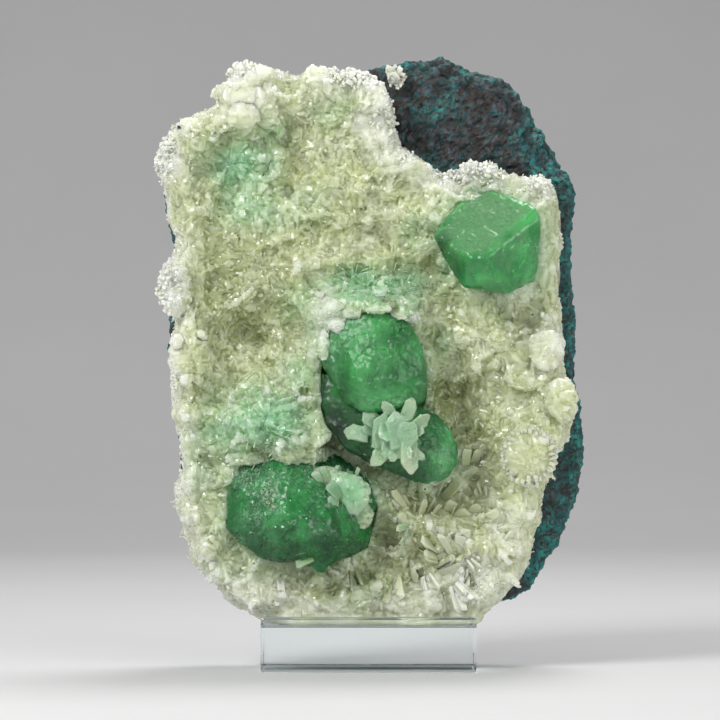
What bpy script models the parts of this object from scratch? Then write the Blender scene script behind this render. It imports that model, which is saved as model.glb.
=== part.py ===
"""A green apophyllite on a pale stilbite crust over basalt, upright in a clear block.

Right is +X, the back is +Y and up is +Z. The origin is under the middle of the block.
The sizes below are in millimetres, and every mesh is made in metres.
"""

import math
import random

import bmesh
import bpy
import numpy as np
from mathutils import Matrix, Vector, noise

MM = 0.001
GAP = 0.35  # left between two pieces that touch
FAR = 250.0  # beyond every piece, for cuts that go right through

# The block that holds the specimen
STAND_WIDTH = 64.0
STAND_DEPTH = 48.0
STAND_HEIGHT = 16.5
STAND_LIP = 3.5
CHANNEL_DEPTH = 3.3
CHANNEL_RUNOUT = 2.0  # how far the channel's cutter passes the block's ends and top
STAND_ROUNDING = 0.8
STAND_ROUNDING_STEPS = 2
SHELF = STAND_HEIGHT - CHANNEL_DEPTH
FOOT_GAP = 0.3
BASE = SHELF + FOOT_GAP  # the specimen's sawn foot

# The seam is the flat plane where the crust ends and the basalt begins
SEAM = 1.0
CRYSTAL_BACK = -2.0  # the crystals end this far in front of the seam

CRUST_OUTLINE = [
    (-64.3, 151.2), (-62.5, 158.7), (-57.8, 165.0), (-45.4, 169.5), (-43.9, 177.9),
    (-38.5, 183.3), (-29.5, 181.5), (-20.6, 178.8), (-14.5, 182.1), (-7.3, 179.5),
    (-1.0, 180.3), (3.6, 175.6), (7.0, 172.5), (8.8, 161.7), (10.3, 155.4),
    (14.2, 156.3), (23.8, 147.9), (27.5, 144.6), (27.1, 150.9), (36.4, 153.3),
    (45.8, 147.6), (56.9, 148.2), (59.5, 130.2), (58.0, 113.7), (60.4, 95.7),
    (59.2, 87.3), (64.0, 80.1), (59.8, 66.3), (55.4, 61.5), (54.1, 53.7),
    (52.6, 44.7), (47.2, 26.1), (41.2, 20.5), (29.2, 10.0), (-20.6, 10.0),
    (-42.1, 18.6), (-53.5, 32.1), (-60.1, 53.7), (-55.9, 62.5), (-60.4, 79.2),
    (-60.4, 98.7), (-58.9, 104.7), (-63.4, 118.2), (-58.9, 125.7), (-63.1, 144.3),
]
CRUST_FLOOR = 11.0  # the crust's thickness between its lumps
RIM_RISE = 5.5
RIM_WIDTH = 9.0
RIM_INSET = 5.0  # how far inside the outline the rim is highest
EDGE_DROP = 0.3  # share of the thickness lost at the outline itself
EDGE_DROP_WIDTH = 2.2
CRUST_WAVE_RISE = 1.4
CRUST_WAVE_SIZE = 15.0
CRUST_PATCHES = (10.0, 6.0)  # sizes of the flat patches that the face breaks into
PATCH_TILT = 0.32
PATCH_STEP = 0.35
PATCH_SHUFFLE = 7.3  # spreads the patches' middles over the cells that give the tilts
CRUST_JITTER = 0.9
CRUST_JITTER_SIZE = 6.0
CRUST_OVERRUN = 1.5  # how far the raw slab passes the seam before it is cut flat
CRUST_CELL = 3.2
CRUST_FACETS = 2900

# Lumps and pits of the crust: x, z, half width, half height, rise over the floor
CRUST_RELIEF = [
    (-34.7, 168.5, 12, 9, 4.5),  # curved sheaf at the top left
    (-55.5, 154.5, 9, 12, 3.5),  # upper left lobe
    (-31.0, 151.0, 10, 8, 2.5),
    (-5.6, 170.0, 14, 9, 3.0),
    (-12.0, 140.0, 12, 9, 2.5),
    (-40.0, 133.0, 9, 8, 2.0),
    (-57.0, 114.5, 8, 10, 4.0),  # bright cluster on the left rim
    (-53.0, 92.0, 9, 13, 6.5),  # cream block on the left rim
    (-36.0, 99.0, 8, 6, -6.0),  # dark pit beside it
    (-33.0, 112.0, 9, 6, 3.0),
    (-18.0, 119.0, 9, 7, 3.5),
    (-17.5, 90.5, 6, 8, 9.5),  # bladed lump left of the middle crystal
    (-2.5, 109.5, 16, 5.5, 23.0),  # arc of crust over the middle crystal
    (-14.5, 103.0, 5, 6, 12.0),
    (13.0, 103.5, 4, 6, 9.0),
    (-9.0, 52.5, 9, 6, 9.5),  # crust grown on the lower left crystal's right face
    (1.0, 37.5, 8, 8, -3.5),
    (-30.5, 74.5, 15, 11, 18.0),  # cluster on top of the lower left crystal
    (-18.5, 66.0, 8, 7, 12.0),
    (-52.0, 66.0, 7, 8, 2.0),
    (27.0, 78.0, 5, 12, -4.5),  # dark pit right of the middle crystal
    (32.0, 96.0, 8, 8, 2.0),
    (30.0, 112.0, 9, 7, 2.5),
    (12.0, 128.0, 8, 10, 1.5),
    (22.0, 131.0, 6, 8, -2.0),
    (44.0, 99.5, 9, 8, 3.5),
    (56.0, 97.0, 6, 7, 2.0),
    (47.9, 64.2, 10, 10, 7.0),  # rosette on the right rim
    (58.5, 80.0, 6, 6, 2.5),
    (-5.0, 56.5, 8, 5, -3.5),  # recess under the middle crystal
    (13.0, 45.0, 10, 8, 3.5),
    (27.0, 38.0, 13, 11, 5.5),
    (-9.0, 24.0, 13, 8, 4.0),
    (-36.0, 25.0, 10, 8, 3.0),
    (-52.0, 42.0, 6, 9, 2.5),
    (40.0, 128.0, 22, 18, -1.5),
]

# Large blades of the crust: x, z, turn in the picture plane, lean to the front, length, width
CRUST_BLADES = [
    (-38.0, 172.0, 125, 35, 15, 5.5), (-33.5, 174.0, 95, 35, 15, 5.5),
    (-29.0, 171.0, 60, 35, 14, 5.0), (-35.0, 164.0, 150, 50, 12, 5.0),
    (-54.0, 159.0, 130, 35, 12, 5.5), (-56.0, 150.0, 170, 40, 12, 5.5),
    (-33.0, 152.0, 40, 55, 12, 5.0), (-27.0, 148.0, 200, 50, 11, 5.0),
    (-12.0, 173.0, 100, 35, 12, 5.0), (-2.0, 171.0, 70, 40, 12, 5.0),
    (-8.0, 158.0, 320, 55, 10, 4.5), (-20.0, 160.0, 220, 55, 10, 4.5),
    (12.5, 152.0, 80, 30, 10, 4.0), (21.0, 144.0, 55, 30, 10, 4.0),
    (30.0, 149.0, 100, 25, 9, 4.0), (38.0, 149.0, 75, 25, 9, 4.0),
    (48.0, 144.0, 60, 35, 9, 4.5), (52.0, 140.0, 30, 45, 10, 4.5),
    (27.0, 119.5, 205, 35, 10, 4.5), (17.0, 136.0, 160, 45, 9, 4.5),
    (-10.0, 146.0, 20, 60, 11, 4.5), (-18.0, 134.0, 140, 55, 11, 4.5),
    (-57.5, 118.0, 165, 40, 12, 5.5), (-56.0, 110.0, 200, 40, 12, 5.5),
    (-48.0, 118.0, 60, 50, 10, 4.5), (-56.0, 98.0, 175, 40, 12, 6.0),
    (-52.0, 88.0, 220, 50, 12, 6.0), (-50.0, 99.0, 60, 60, 10, 5.5),
    (-13.0, 111.0, 150, 40, 12, 5.0), (-6.0, 113.0, 110, 40, 12, 5.5),
    (3.0, 113.0, 75, 40, 12, 5.5), (10.0, 109.0, 35, 40, 11, 5.0),
    (-17.0, 93.0, 65, 35, 13, 5.5), (-19.5, 88.0, 245, 35, 12, 5.0),
    (-39.0, 80.0, 150, 40, 12, 5.5), (-30.0, 82.0, 95, 35, 12, 5.5),
    (-21.0, 79.0, 45, 35, 12, 5.5), (-37.0, 70.0, 205, 40, 12, 5.5),
    (-26.0, 68.0, 255, 35, 10, 5.0), (-17.0, 67.0, 330, 35, 10, 5.0),
    (41.0, 102.0, 60, 50, 10, 5.0), (49.0, 98.0, 330, 45, 10, 5.0),
    (54.0, 95.0, 10, 45, 10, 5.5), (57.5, 79.0, 350, 45, 9, 5.5),
    (43.0, 68.0, 150, 45, 13, 6.0), (50.0, 67.0, 35, 40, 13, 6.0),
    (45.0, 59.0, 235, 45, 13, 6.0), (53.0, 60.0, 310, 40, 12, 5.5),
    (33.0, 59.0, 70, 45, 13, 4.0), (24.0, 55.0, 110, 50, 12, 4.0),
    (31.0, 45.0, 35, 35, 15, 4.5), (22.0, 41.0, 150, 35, 15, 4.5),
    (28.0, 32.0, 265, 35, 15, 4.5), (38.0, 36.0, 320, 35, 14, 4.5),
    (16.0, 32.0, 215, 40, 14, 4.5), (9.0, 44.0, 130, 40, 13, 4.5),
    (4.0, 28.0, 255, 40, 13, 4.5), (-6.0, 27.0, 80, 45, 12, 4.5),
    (-14.0, 22.0, 235, 40, 12, 4.5), (-24.0, 21.0, 120, 40, 11, 4.5),
    (-35.0, 28.0, 80, 45, 11, 4.5), (-44.0, 29.0, 190, 35, 11, 4.5),
    (-52.0, 45.0, 170, 35, 11, 4.5), (-54.0, 54.0, 160, 35, 11, 4.5),
    (-50.0, 68.0, 140, 40, 10, 4.5), (46.0, 46.0, 20, 35, 12, 4.5),
    (43.0, 28.0, 300, 35, 12, 4.5), (8.0, 20.0, 270, 40, 10, 4.5),
]
BLADE_THICKNESS = 0.38  # of a blade's width
BLADE_BREADTH = 1.1  # a six-sided plate's width from corner to corner
BLADE_SUNK = 0.42  # of a blade's length
BLADE_TIP = 0.38  # radius at the narrow end of a plate that is one wide
BLADE_SIDES = 6
BLADE_ROLL = 50.0  # degrees either way
LOOSE_BLADES = 32
LOOSE_TRIES = 4000
LOOSE_SPACING = 7.5
LOOSE_EDGE = 3.0  # from the outline
LOOSE_CLEARANCE = 19.0  # from the middle of a crystal
LOOSE_AREA = ((-62.0, 62.0), (16.0, 182.0))
LOOSE_LEAN = (35.0, 65.0)
LOOSE_LENGTH = (10.0, 13.0)
LOOSE_WIDTH = 5.5

BASALT_OUTLINE = [
    (-59.5, 163.5), (-44.5, 168.3), (-42.5, 177.5), (-20.6, 178.0), (2.2, 180.2),
    (9.8, 183.0), (22.9, 185.0), (30.9, 180.4), (41.2, 177.9), (47.1, 170.3),
    (55.6, 155.6), (62.4, 146.0), (60.7, 126.2), (62.8, 98.8), (62.2, 86.1),
    (64.7, 73.8), (64.7, 60.7), (62.8, 51.0), (58.2, 39.7), (53.4, 30.2),
    (47.1, 23.2), (35.7, 16.5), (29.2, 10.0), (-20.6, 10.0), (-33.1, 17.7),
    (-46.0, 24.3), (-54.1, 36.3), (-56.5, 56.7), (-57.5, 80.7), (-60.5, 99.0),
    (-58.0, 122.1), (-62.0, 143.7), (-61.6, 157.2),
]
BASALT_THICKNESS = 19.0
BASALT_EDGE = 0.42  # share of the thickness left at the outline
BASALT_DOME = 26.0  # how far inside the outline the back is fully domed
BASALT_LUMPS = ((1.8, 19.0, 11.0), (1.2, 7.0, 5.0))  # rise, size and place in the noise
BASALT_JITTER = 1.1
BASALT_JITTER_SIZE = 7.0
BASALT_OVERRUN = 1.5
BASALT_CELL = 4.0
BASALT_FACETS = 1500

# The bare basalt at the top right: where the crust stops and how the stone sinks there
BARE_LEFT = 8.0
BARE_LEFT_FADE = 6.0
BARE_BOTTOM = 150.0
BARE_BOTTOM_FADE = 8.0
BARE_SLOPE = 0.2
BARE_MIDDLE = 30.0
BARE_SINK = 0.5
BARE_EDGE_SINK = 5.0
BARE_EDGE_WIDTH = 5.0
BARE_LUMP = 1.1
BARE_LUMP_SIZE = 8.0

# Each crystal: the middle of its block, two of its edge directions and its three sides
UPPER_RIGHT = {
    "centre": (37.2, -19.8, 126.2),
    "across": (0.711, -0.656, -0.252),
    "along": (0.647, 0.470, 0.602),
    "sides": (23.5, 23.5, 20.0),
    "corner": 2.4,
    "taper": 0.74,
}
LOWER_LEFT = {
    "centre": (-20.4, -11.0, 48.2),
    "across": (-0.707, -0.579, 0.406),
    "along": (0.0, 0.574, 0.819),
    "sides": (38.5, 32.0, 25.5),
    "corner": 4.5,
    "taper": 1.0,
}
STEP_CORNER = 1.6
LOWER_LEFT_STEPS = [
    ((-14.6, -17.0, 32.4), (8.5, 8.0, 8.0)),
    ((-4.5, -13.0, 38.5), (11.0, 9.0, 9.0)),
]
CENTRE_UPPER = {
    "centre": (1.2, -16.5, 91.6),
    "across": (0.965, -0.05, 0.25),
    "along": (-0.235, 0.27, 0.935),
    "sides": (31.0, 28.0, 27.0),
    "corner": 6.5,
    "taper": 1.0,
}
CENTRE_LOWER = {
    "centre": (5.2, -13.5, 69.4),
    "across": (0.9, -0.05, -0.43),
    "along": (0.42, -0.25, 0.87),
    "sides": (36.0, 16.5, 22.0),
    "corner": 5.5,
    "taper": 1.0,
}
# Where the middle crystal's two left corners are cut off: a point and a direction each
CENTRE_CUTS = [
    ((-10.4, -29.0, 84.8), (-0.76, -0.26, -0.6)),
    ((-12.5, -29.0, 99.5), (-0.76, -0.1, 0.6)),
]

HUB_SHAPE = (1.0, 0.75, 0.8)  # a hub's half sizes as shares of its radius
SPRAY_HUB = (11.5, -27.5, 71.5)
SPRAY_HUB_RADIUS = 6.5
SPRAY_FOOT = 2.6  # how far in front of the hub's middle the blades start
# Blades of the spray: x, z, turn in the picture plane, lean to the front, length, width
SPRAY_BLADES = [
    (10.0, 72.0, 160, 25, 13, 8.5), (12.0, 74.0, 35, 20, 13, 8.5),
    (14.5, 76.5, 80, 20, 10, 4.5), (7.5, 75.5, 120, 25, 10, 6.0),
    (16.0, 71.0, 350, 20, 13, 6.5), (7.0, 65.5, 214, 20, 13, 4.5),
    (12.0, 64.5, 262, 20, 11, 6.5), (4.5, 67.0, 192, 20, 12, 4.0),
    (17.0, 66.5, 310, 25, 11, 5.5), (5.0, 71.0, 175, 30, 12, 5.5),
    (11.0, 70.0, 240, 55, 9, 6.0), (13.0, 73.0, 20, 60, 9, 6.0),
]

CHIP_CENTRE = (7.4, -1.6, 179.0)
CHIP_RADIUS = 2.7
CHIP_FOOT = 0.8
CHIP_BLADES = [
    (5.6, 180.0, 140, 25, 6, 3.2), (9.0, 180.0, 60, 20, 6.5, 3.2),
    (9.5, 177.5, 340, 25, 6, 3.0), (6.5, 176.8, 240, 30, 5.5, 3.0),
]

STONE_SEED = 21
CLUSTER_SEED = 26


def material(name, colour, roughness, transmission=0.0, ior=1.5):
    """A finish with one colour, named for the mineral or the plastic."""
    finish = bpy.data.materials.new(name)
    finish.use_nodes = True
    shader = finish.node_tree.nodes["Principled BSDF"]
    shader.inputs["Base Color"].default_value = (*colour, 1.0)
    shader.inputs["Roughness"].default_value = roughness
    shader.inputs["Metallic"].default_value = 0.0
    shader.inputs["Transmission Weight"].default_value = transmission
    shader.inputs["IOR"].default_value = ior
    finish.diffuse_color = (*colour, 1.0)
    return finish


def scaled(point):
    """A point in millimetres as a vector in metres."""
    return Vector(point) * MM


def new_object(name, mesh, collection):
    thing = bpy.data.objects.new(name, mesh)
    collection.objects.link(thing)
    return thing


def settle(thing):
    """Puts the modified mesh in place of the object's own and takes the modifiers off."""
    graph = bpy.context.evaluated_depsgraph_get()
    graph.update()
    thing.data = bpy.data.meshes.new_from_object(thing.evaluated_get(graph))
    thing.modifiers.clear()


def drop_spare_vertices(thing):
    """Takes out the vertices that a Boolean leaves part-way along a straight edge."""
    shape = bmesh.new()
    shape.from_mesh(thing.data)
    spare = [vertex for vertex in shape.verts if len(vertex.link_edges) == 2]
    bmesh.ops.dissolve_verts(shape, verts=spare)
    shape.to_mesh(thing.data)
    shape.free()


def join_or_cut(thing, other, operation):
    """A Boolean of two closed objects. The other one is used up."""
    step = thing.modifiers.new(operation, "BOOLEAN")
    step.operation = operation
    step.solver = "EXACT"
    step.object = other
    settle(thing)
    drop_spare_vertices(thing)
    bpy.data.objects.remove(other)


def box(name, low, high, collection):
    """A box between two corners given in millimetres."""
    shape = bmesh.new()
    middle = (scaled(low) + scaled(high)) / 2
    sides = scaled(high) - scaled(low)
    place = Matrix.Translation(middle) @ Matrix.Diagonal((*sides, 1.0))
    bmesh.ops.create_cube(shape, size=1.0, matrix=place)
    mesh = bpy.data.meshes.new(name)
    shape.to_mesh(mesh)
    shape.free()
    return new_object(name, mesh, collection)


def keep_largest(thing):
    """Drops the crumbs that a cut leaves loose."""
    shape = bmesh.new()
    shape.from_mesh(thing.data)
    waiting = set(shape.verts)
    bodies = []
    while waiting:
        reached = {waiting.pop()}
        edge_of_search = list(reached)
        while edge_of_search:
            vertex = edge_of_search.pop()
            for edge in vertex.link_edges:
                other = edge.other_vert(vertex)
                if other not in reached:
                    reached.add(other)
                    edge_of_search.append(other)
        waiting -= reached
        bodies.append(reached)
    bodies.sort(key=len)
    crumbs = [vertex for body in bodies[:-1] for vertex in body]
    bmesh.ops.delete(shape, geom=crumbs, context="VERTS")
    shape.to_mesh(thing.data)
    shape.free()


def outline_slab(name, outline, near, far, cell, collection):
    """A slab with this outline between two depths, remeshed into even cells."""
    curve = bpy.data.curves.new(name, "CURVE")
    curve.dimensions = "2D"
    curve.fill_mode = "BOTH"
    curve.extrude = (far - near) / 2 * MM
    spline = curve.splines.new("POLY")
    spline.points.add(len(outline) - 1)
    for point, (x, z) in zip(spline.points, outline):
        point.co = (x * MM, z * MM, 0.0, 1.0)
    spline.use_cyclic_u = True
    guide = new_object(name + "_outline", curve, collection)
    guide.rotation_euler.x = math.pi / 2
    guide.location.y = (near + far) / 2 * MM
    graph = bpy.context.evaluated_depsgraph_get()
    graph.update()
    mesh = bpy.data.meshes.new_from_object(guide.evaluated_get(graph))
    mesh.transform(guide.matrix_world)
    bpy.data.objects.remove(guide)
    shape = bmesh.new()
    shape.from_mesh(mesh)
    bmesh.ops.remove_doubles(shape, verts=shape.verts, dist=0.00001)
    bmesh.ops.recalc_face_normals(shape, faces=shape.faces)
    shape.to_mesh(mesh)
    shape.free()
    slab = new_object(name, mesh, collection)
    remesh = slab.modifiers.new("cells", "REMESH")
    remesh.mode = "VOXEL"
    remesh.voxel_size = cell * MM
    settle(slab)
    return slab


def distance_inside(outline, x, z):
    """How far a point is from the nearest edge of the outline."""
    start = np.array(outline)
    run = np.roll(start, -1, axis=0) - start
    away = np.array((x, z)) - start
    share = np.clip((away * run).sum(axis=1) / (run * run).sum(axis=1), 0.0, 1.0)
    return float(np.hypot(*(away - run * share[:, None]).T).min())


def roughness_at(x, y, z, size, seed=0.0):
    """Smooth noise between about -1 and 1, with lumps of this size."""
    return noise.noise(Vector((x / size + seed, y / size, z / size)))


def facet_height(x, z, size):
    """Flat patches of about this size, each with a tilt of its own."""
    spot = Vector((x, 0.0, z)) / size
    middle = noise.voronoi(spot)[1][0]
    tilt = noise.cell_vector(middle * PATCH_SHUFFLE) * 2.0 - Vector((1.0, 1.0, 1.0))
    slope = tilt.x * (spot.x - middle.x) + tilt.z * (spot.z - middle.z)
    return size * PATCH_TILT * (slope + PATCH_STEP * tilt.y)


def crust_height(x, z):
    """How far the crust's face stands in front of the seam's zero, by place."""
    inside = distance_inside(CRUST_OUTLINE, x, z)
    height = CRUST_FLOOR + RIM_RISE * math.exp(-((inside - RIM_INSET) / RIM_WIDTH) ** 2)
    for middle_x, middle_z, half_x, half_z, rise in CRUST_RELIEF:
        reach = ((x - middle_x) / half_x) ** 2 + ((z - middle_z) / half_z) ** 2
        height += rise * math.exp(-(reach ** 1.5))
    height += CRUST_WAVE_RISE * roughness_at(x, 0.0, z, CRUST_WAVE_SIZE)
    height += sum(facet_height(x, z, size) for size in CRUST_PATCHES)
    return height * (1.0 - EDGE_DROP * math.exp(-inside / EDGE_DROP_WIDTH))


def basalt_depth(x, z):
    """How far the basalt's back lies behind the seam, by place."""
    inside = distance_inside(BASALT_OUTLINE, x, z)
    dome = math.sqrt(1.0 - (1.0 - min(inside / BASALT_DOME, 1.0)) ** 2)
    depth = BASALT_THICKNESS * (BASALT_EDGE + (1.0 - BASALT_EDGE) * dome)
    lumps = sum(rise * roughness_at(x, 0.0, z, size, seed) for rise, size, seed in BASALT_LUMPS)
    return depth + lumps


def basalt_hollow(x, z):
    """How far the basalt's bare front lies behind the seam: none under the crust."""
    across = min(max((x - BARE_LEFT) / BARE_LEFT_FADE, 0.0), 1.0)
    bottom = BARE_BOTTOM - (x - BARE_MIDDLE) * BARE_SLOPE
    upwards = min(max((z - bottom) / BARE_BOTTOM_FADE, 0.0), 1.0)
    edge = BARE_EDGE_SINK * math.exp(-distance_inside(BASALT_OUTLINE, x, z) / BARE_EDGE_WIDTH)
    lump = BARE_LUMP * max(roughness_at(x, 0.0, z, BARE_LUMP_SIZE, 70.0) + 0.4, 0.0)
    return across * upwards * (BARE_SINK + edge + lump)


def thin_out(thing, triangles):
    """Leaves about this many triangles, which become the stone's facets."""
    thing.data.calc_loop_triangles()
    step = thing.modifiers.new("facets", "DECIMATE")
    step.ratio = min(1.0, triangles / len(thing.data.loop_triangles))
    settle(thing)


def blade(name, middle, along, face, length, width, collection):
    """A flat six-sided plate with a point at each end and one bevelled side."""
    along = along.normalized()
    face = (face - along * face.dot(along)).normalized()
    turn = Matrix((along.cross(face), along, face)).transposed().to_4x4()
    sides = scaled((width * BLADE_BREADTH, length, width * BLADE_THICKNESS))
    shape = bmesh.new()
    bmesh.ops.create_cone(
        shape, cap_ends=True, segments=BLADE_SIDES, radius1=0.5, radius2=BLADE_TIP, depth=1.0,
        matrix=Matrix.Translation(scaled(middle)) @ turn @ Matrix.Diagonal((*sides, 1.0)),
    )
    mesh = bpy.data.meshes.new(name)
    shape.to_mesh(mesh)
    shape.free()
    return new_object(name, mesh, collection)


def blade_ways(turn, lean, draw):
    """The directions of a blade's length and of its flat side."""
    turn, lean = math.radians(turn), math.radians(lean)
    flat = Vector((math.cos(turn), 0.0, math.sin(turn)))
    along = flat * math.cos(lean) + Vector((0.0, -1.0, 0.0)) * math.sin(lean)
    sideways = Vector((-math.sin(turn), 0.0, math.cos(turn)))
    face = Vector((0.0, -1.0, 0.0)) * math.cos(lean) - flat * math.sin(lean)
    roll = math.radians(draw.uniform(-BLADE_ROLL, BLADE_ROLL))
    return along, face * math.cos(roll) + sideways * math.sin(roll)


def join_blades(thing, blades, foot_at, draw, collection, grow=0.0):
    """Joins blades to a piece, each with its foot sunk in the piece's surface."""
    for x, z, turn, lean, length, width in blades:
        along, face = blade_ways(turn, lean, draw)
        foot = Vector((x, foot_at(x, z), z))
        middle = foot + along * length * (0.5 - BLADE_SUNK)
        size = (length + 2 * grow, width + 4 * grow)
        join_or_cut(thing, blade("blade", middle, along, face, *size, collection), "UNION")


def inside_outline(outline, x, z):
    crossings = 0
    for (x0, z0), (x1, z1) in zip(outline, outline[1:] + outline[:1]):
        if (z0 > z) != (z1 > z) and x < x0 + (z - z0) / (z1 - z0) * (x1 - x0):
            crossings += 1
    return crossings % 2 == 1


def loose_blades(draw):
    """More blades of the crust, spread at random between the large ones."""
    taken = [(x, z) for x, z, *_ in CRUST_BLADES]
    crystals = [UPPER_RIGHT, LOWER_LEFT, CENTRE_UPPER, CENTRE_LOWER]
    taken_wide = [(c["centre"][0], c["centre"][2]) for c in crystals]
    found = []
    for _ in range(LOOSE_TRIES):
        if len(found) == LOOSE_BLADES:
            break
        x, z = (draw.uniform(*limits) for limits in LOOSE_AREA)
        if not inside_outline(CRUST_OUTLINE, x, z):
            continue
        if distance_inside(CRUST_OUTLINE, x, z) < LOOSE_EDGE:
            continue
        if any(math.hypot(x - a, z - b) < LOOSE_SPACING for a, b in taken):
            continue
        if any(math.hypot(x - a, z - b) < LOOSE_CLEARANCE for a, b in taken_wide):
            continue
        taken.append((x, z))
        turn, lean, length = draw.uniform(0, 360), draw.uniform(*LOOSE_LEAN), draw.uniform(*LOOSE_LENGTH)
        found.append((x, z, turn, lean, length, LOOSE_WIDTH))
    return found


def crystal(name, plan, collection, grow=0.0, cuts=()):
    """A squarish block with its corners cut off, turned into place and ended at its back."""
    across = Vector(plan["across"]).normalized()
    along = Vector(plan["along"])
    along = (along - across * along.dot(across)).normalized()
    shape = bmesh.new()
    bmesh.ops.create_cube(shape, size=1.0)
    for vertex in shape.verts:
        narrow = 1.0 if vertex.co.z > 0 else plan["taper"]
        vertex.co.x *= (plan["sides"][0] * narrow + 2 * grow) * MM
        vertex.co.y *= (plan["sides"][1] * narrow + 2 * grow) * MM
        vertex.co.z *= (plan["sides"][2] + 2 * grow) * MM
    bmesh.ops.bevel(
        shape, geom=shape.verts[:], offset=plan["corner"] * MM, affect="VERTICES",
        segments=1, profile=0.5,
    )
    turn = Matrix((across, along, across.cross(along))).transposed().to_4x4()
    place = Matrix.Translation(scaled(plan["centre"])) @ turn
    bmesh.ops.transform(shape, matrix=place, verts=shape.verts)
    back = [((0.0, CRYSTAL_BACK, 0.0), (0.0, 1.0, 0.0))]
    for point, normal in back + list(cuts):
        normal = Vector(normal).normalized()
        bmesh.ops.bisect_plane(
            shape, geom=shape.verts[:] + shape.edges[:] + shape.faces[:],
            plane_co=scaled(point) + normal * grow * MM, plane_no=normal, clear_outer=True,
        )
        bmesh.ops.holes_fill(shape, edges=[e for e in shape.edges if e.is_boundary], sides=0)
    bmesh.ops.recalc_face_normals(shape, faces=shape.faces)
    mesh = bpy.data.meshes.new(name)
    shape.to_mesh(mesh)
    shape.free()
    return new_object(name, mesh, collection)


def apophyllite_upper_right(name, collection, grow=0.0):
    return crystal(name, UPPER_RIGHT, collection, grow)


def apophyllite_lower_left(name, collection, grow=0.0):
    """The largest crystal, with two small blocks grown on it the same way round."""
    block = crystal(name, LOWER_LEFT, collection, grow)
    for number, (centre, sides) in enumerate(LOWER_LEFT_STEPS):
        plan = {**LOWER_LEFT, "centre": centre, "sides": sides, "corner": STEP_CORNER}
        join_or_cut(block, crystal(f"{name}_step_{number}", plan, collection, grow), "UNION")
    return block


def apophyllite_centre(name, collection, grow=0.0):
    """Two blocks grown into each other."""
    block = crystal(name, CENTRE_UPPER, collection, grow, CENTRE_CUTS)
    join_or_cut(block, crystal(name + "_lower", CENTRE_LOWER, collection, grow), "UNION")
    return block


def cluster(name, hub, radius, blades, depth, collection, grow=0.0):
    """A small lump with blades standing out of it, joined in one body."""
    shape = bmesh.new()
    reach = Vector(HUB_SHAPE) * (radius + grow) * MM
    place = Matrix.Translation(scaled(hub)) @ Matrix.Diagonal((*reach, 1.0))
    bmesh.ops.create_icosphere(shape, subdivisions=1, radius=1.0, matrix=place)
    mesh = bpy.data.meshes.new(name)
    shape.to_mesh(mesh)
    shape.free()
    lump = new_object(name, mesh, collection)
    draw = random.Random(CLUSTER_SEED)
    join_blades(lump, blades, lambda x, z: depth, draw, collection, grow)
    return lump


def stilbite_spray(name, collection, grow=0.0):
    depth = SPRAY_HUB[1] - SPRAY_FOOT
    return cluster(name, SPRAY_HUB, SPRAY_HUB_RADIUS, SPRAY_BLADES, depth, collection, grow)


def stilbite_chip(name, collection, grow=0.0):
    depth = CHIP_CENTRE[1] - CHIP_FOOT
    chip = cluster(name, CHIP_CENTRE, CHIP_RADIUS, CHIP_BLADES, depth, collection, grow)
    trim(chip, (-FAR, SEAM, -FAR), (FAR, FAR, FAR), collection)
    return chip


def trim(thing, low, high, collection):
    """Takes a box-shaped space out of a piece."""
    join_or_cut(thing, box(thing.name + "_trim", low, high, collection), "DIFFERENCE")


def stilbite_crust(name, collection):
    """The crust, raised from a slab, with its blades, and with pockets for the crystals."""
    raw_back = SEAM + CRUST_OVERRUN
    crust = outline_slab(name, CRUST_OUTLINE, -CRUST_FLOOR, raw_back, CRUST_CELL, collection)
    for vertex in crust.data.vertices:
        x, y, z = vertex.co / MM
        share = min(max((SEAM - y) / (SEAM + CRUST_FLOOR), 0.0), 1.0)
        y = y if y > SEAM else SEAM - share * (SEAM + crust_height(x, z))
        x += CRUST_JITTER * roughness_at(x, y, z, CRUST_JITTER_SIZE, 90.0)
        z += CRUST_JITTER * roughness_at(x, y, z, CRUST_JITTER_SIZE, 60.0)
        vertex.co = scaled((x, y, z))
    thin_out(crust, CRUST_FACETS)
    draw = random.Random(STONE_SEED)
    blades = CRUST_BLADES + loose_blades(draw)
    join_blades(crust, blades, lambda x, z: -crust_height(x, z), draw, collection)
    crystals = (apophyllite_upper_right, apophyllite_lower_left, apophyllite_centre)
    for grown in crystals + (stilbite_spray, stilbite_chip):
        join_or_cut(crust, grown(name + "_pocket", collection, GAP), "DIFFERENCE")
    trim(crust, (-FAR, SEAM, -FAR), (FAR, FAR, FAR), collection)
    trim(crust, (-FAR, -FAR, -FAR), (FAR, FAR, BASE), collection)
    keep_largest(crust)
    return crust


def basalt_matrix(name, collection):
    """The basalt behind the crust: flat at the seam, domed and rough at its back."""
    raw_front = SEAM - BASALT_OVERRUN
    stone = outline_slab(name, BASALT_OUTLINE, raw_front, BASALT_THICKNESS, BASALT_CELL, collection)
    for vertex in stone.data.vertices:
        x, y, z = vertex.co / MM
        share = min(max((y - SEAM) / (BASALT_THICKNESS - SEAM), 0.0), 1.0)
        near = SEAM + basalt_hollow(x, z)
        y = y + basalt_hollow(x, z) if y < SEAM else near + share * (basalt_depth(x, z) - near)
        x += BASALT_JITTER * roughness_at(x, y, z, BASALT_JITTER_SIZE, 30.0)
        z += BASALT_JITTER * roughness_at(x, y, z, BASALT_JITTER_SIZE, 35.0)
        vertex.co = scaled((x, y, z))
    thin_out(stone, BASALT_FACETS)
    trim(stone, (-FAR, -FAR, -FAR), (FAR, SEAM + GAP, FAR), collection)
    trim(stone, (-FAR, -FAR, -FAR), (FAR, FAR, BASE), collection)
    keep_largest(stone)
    return stone


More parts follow.
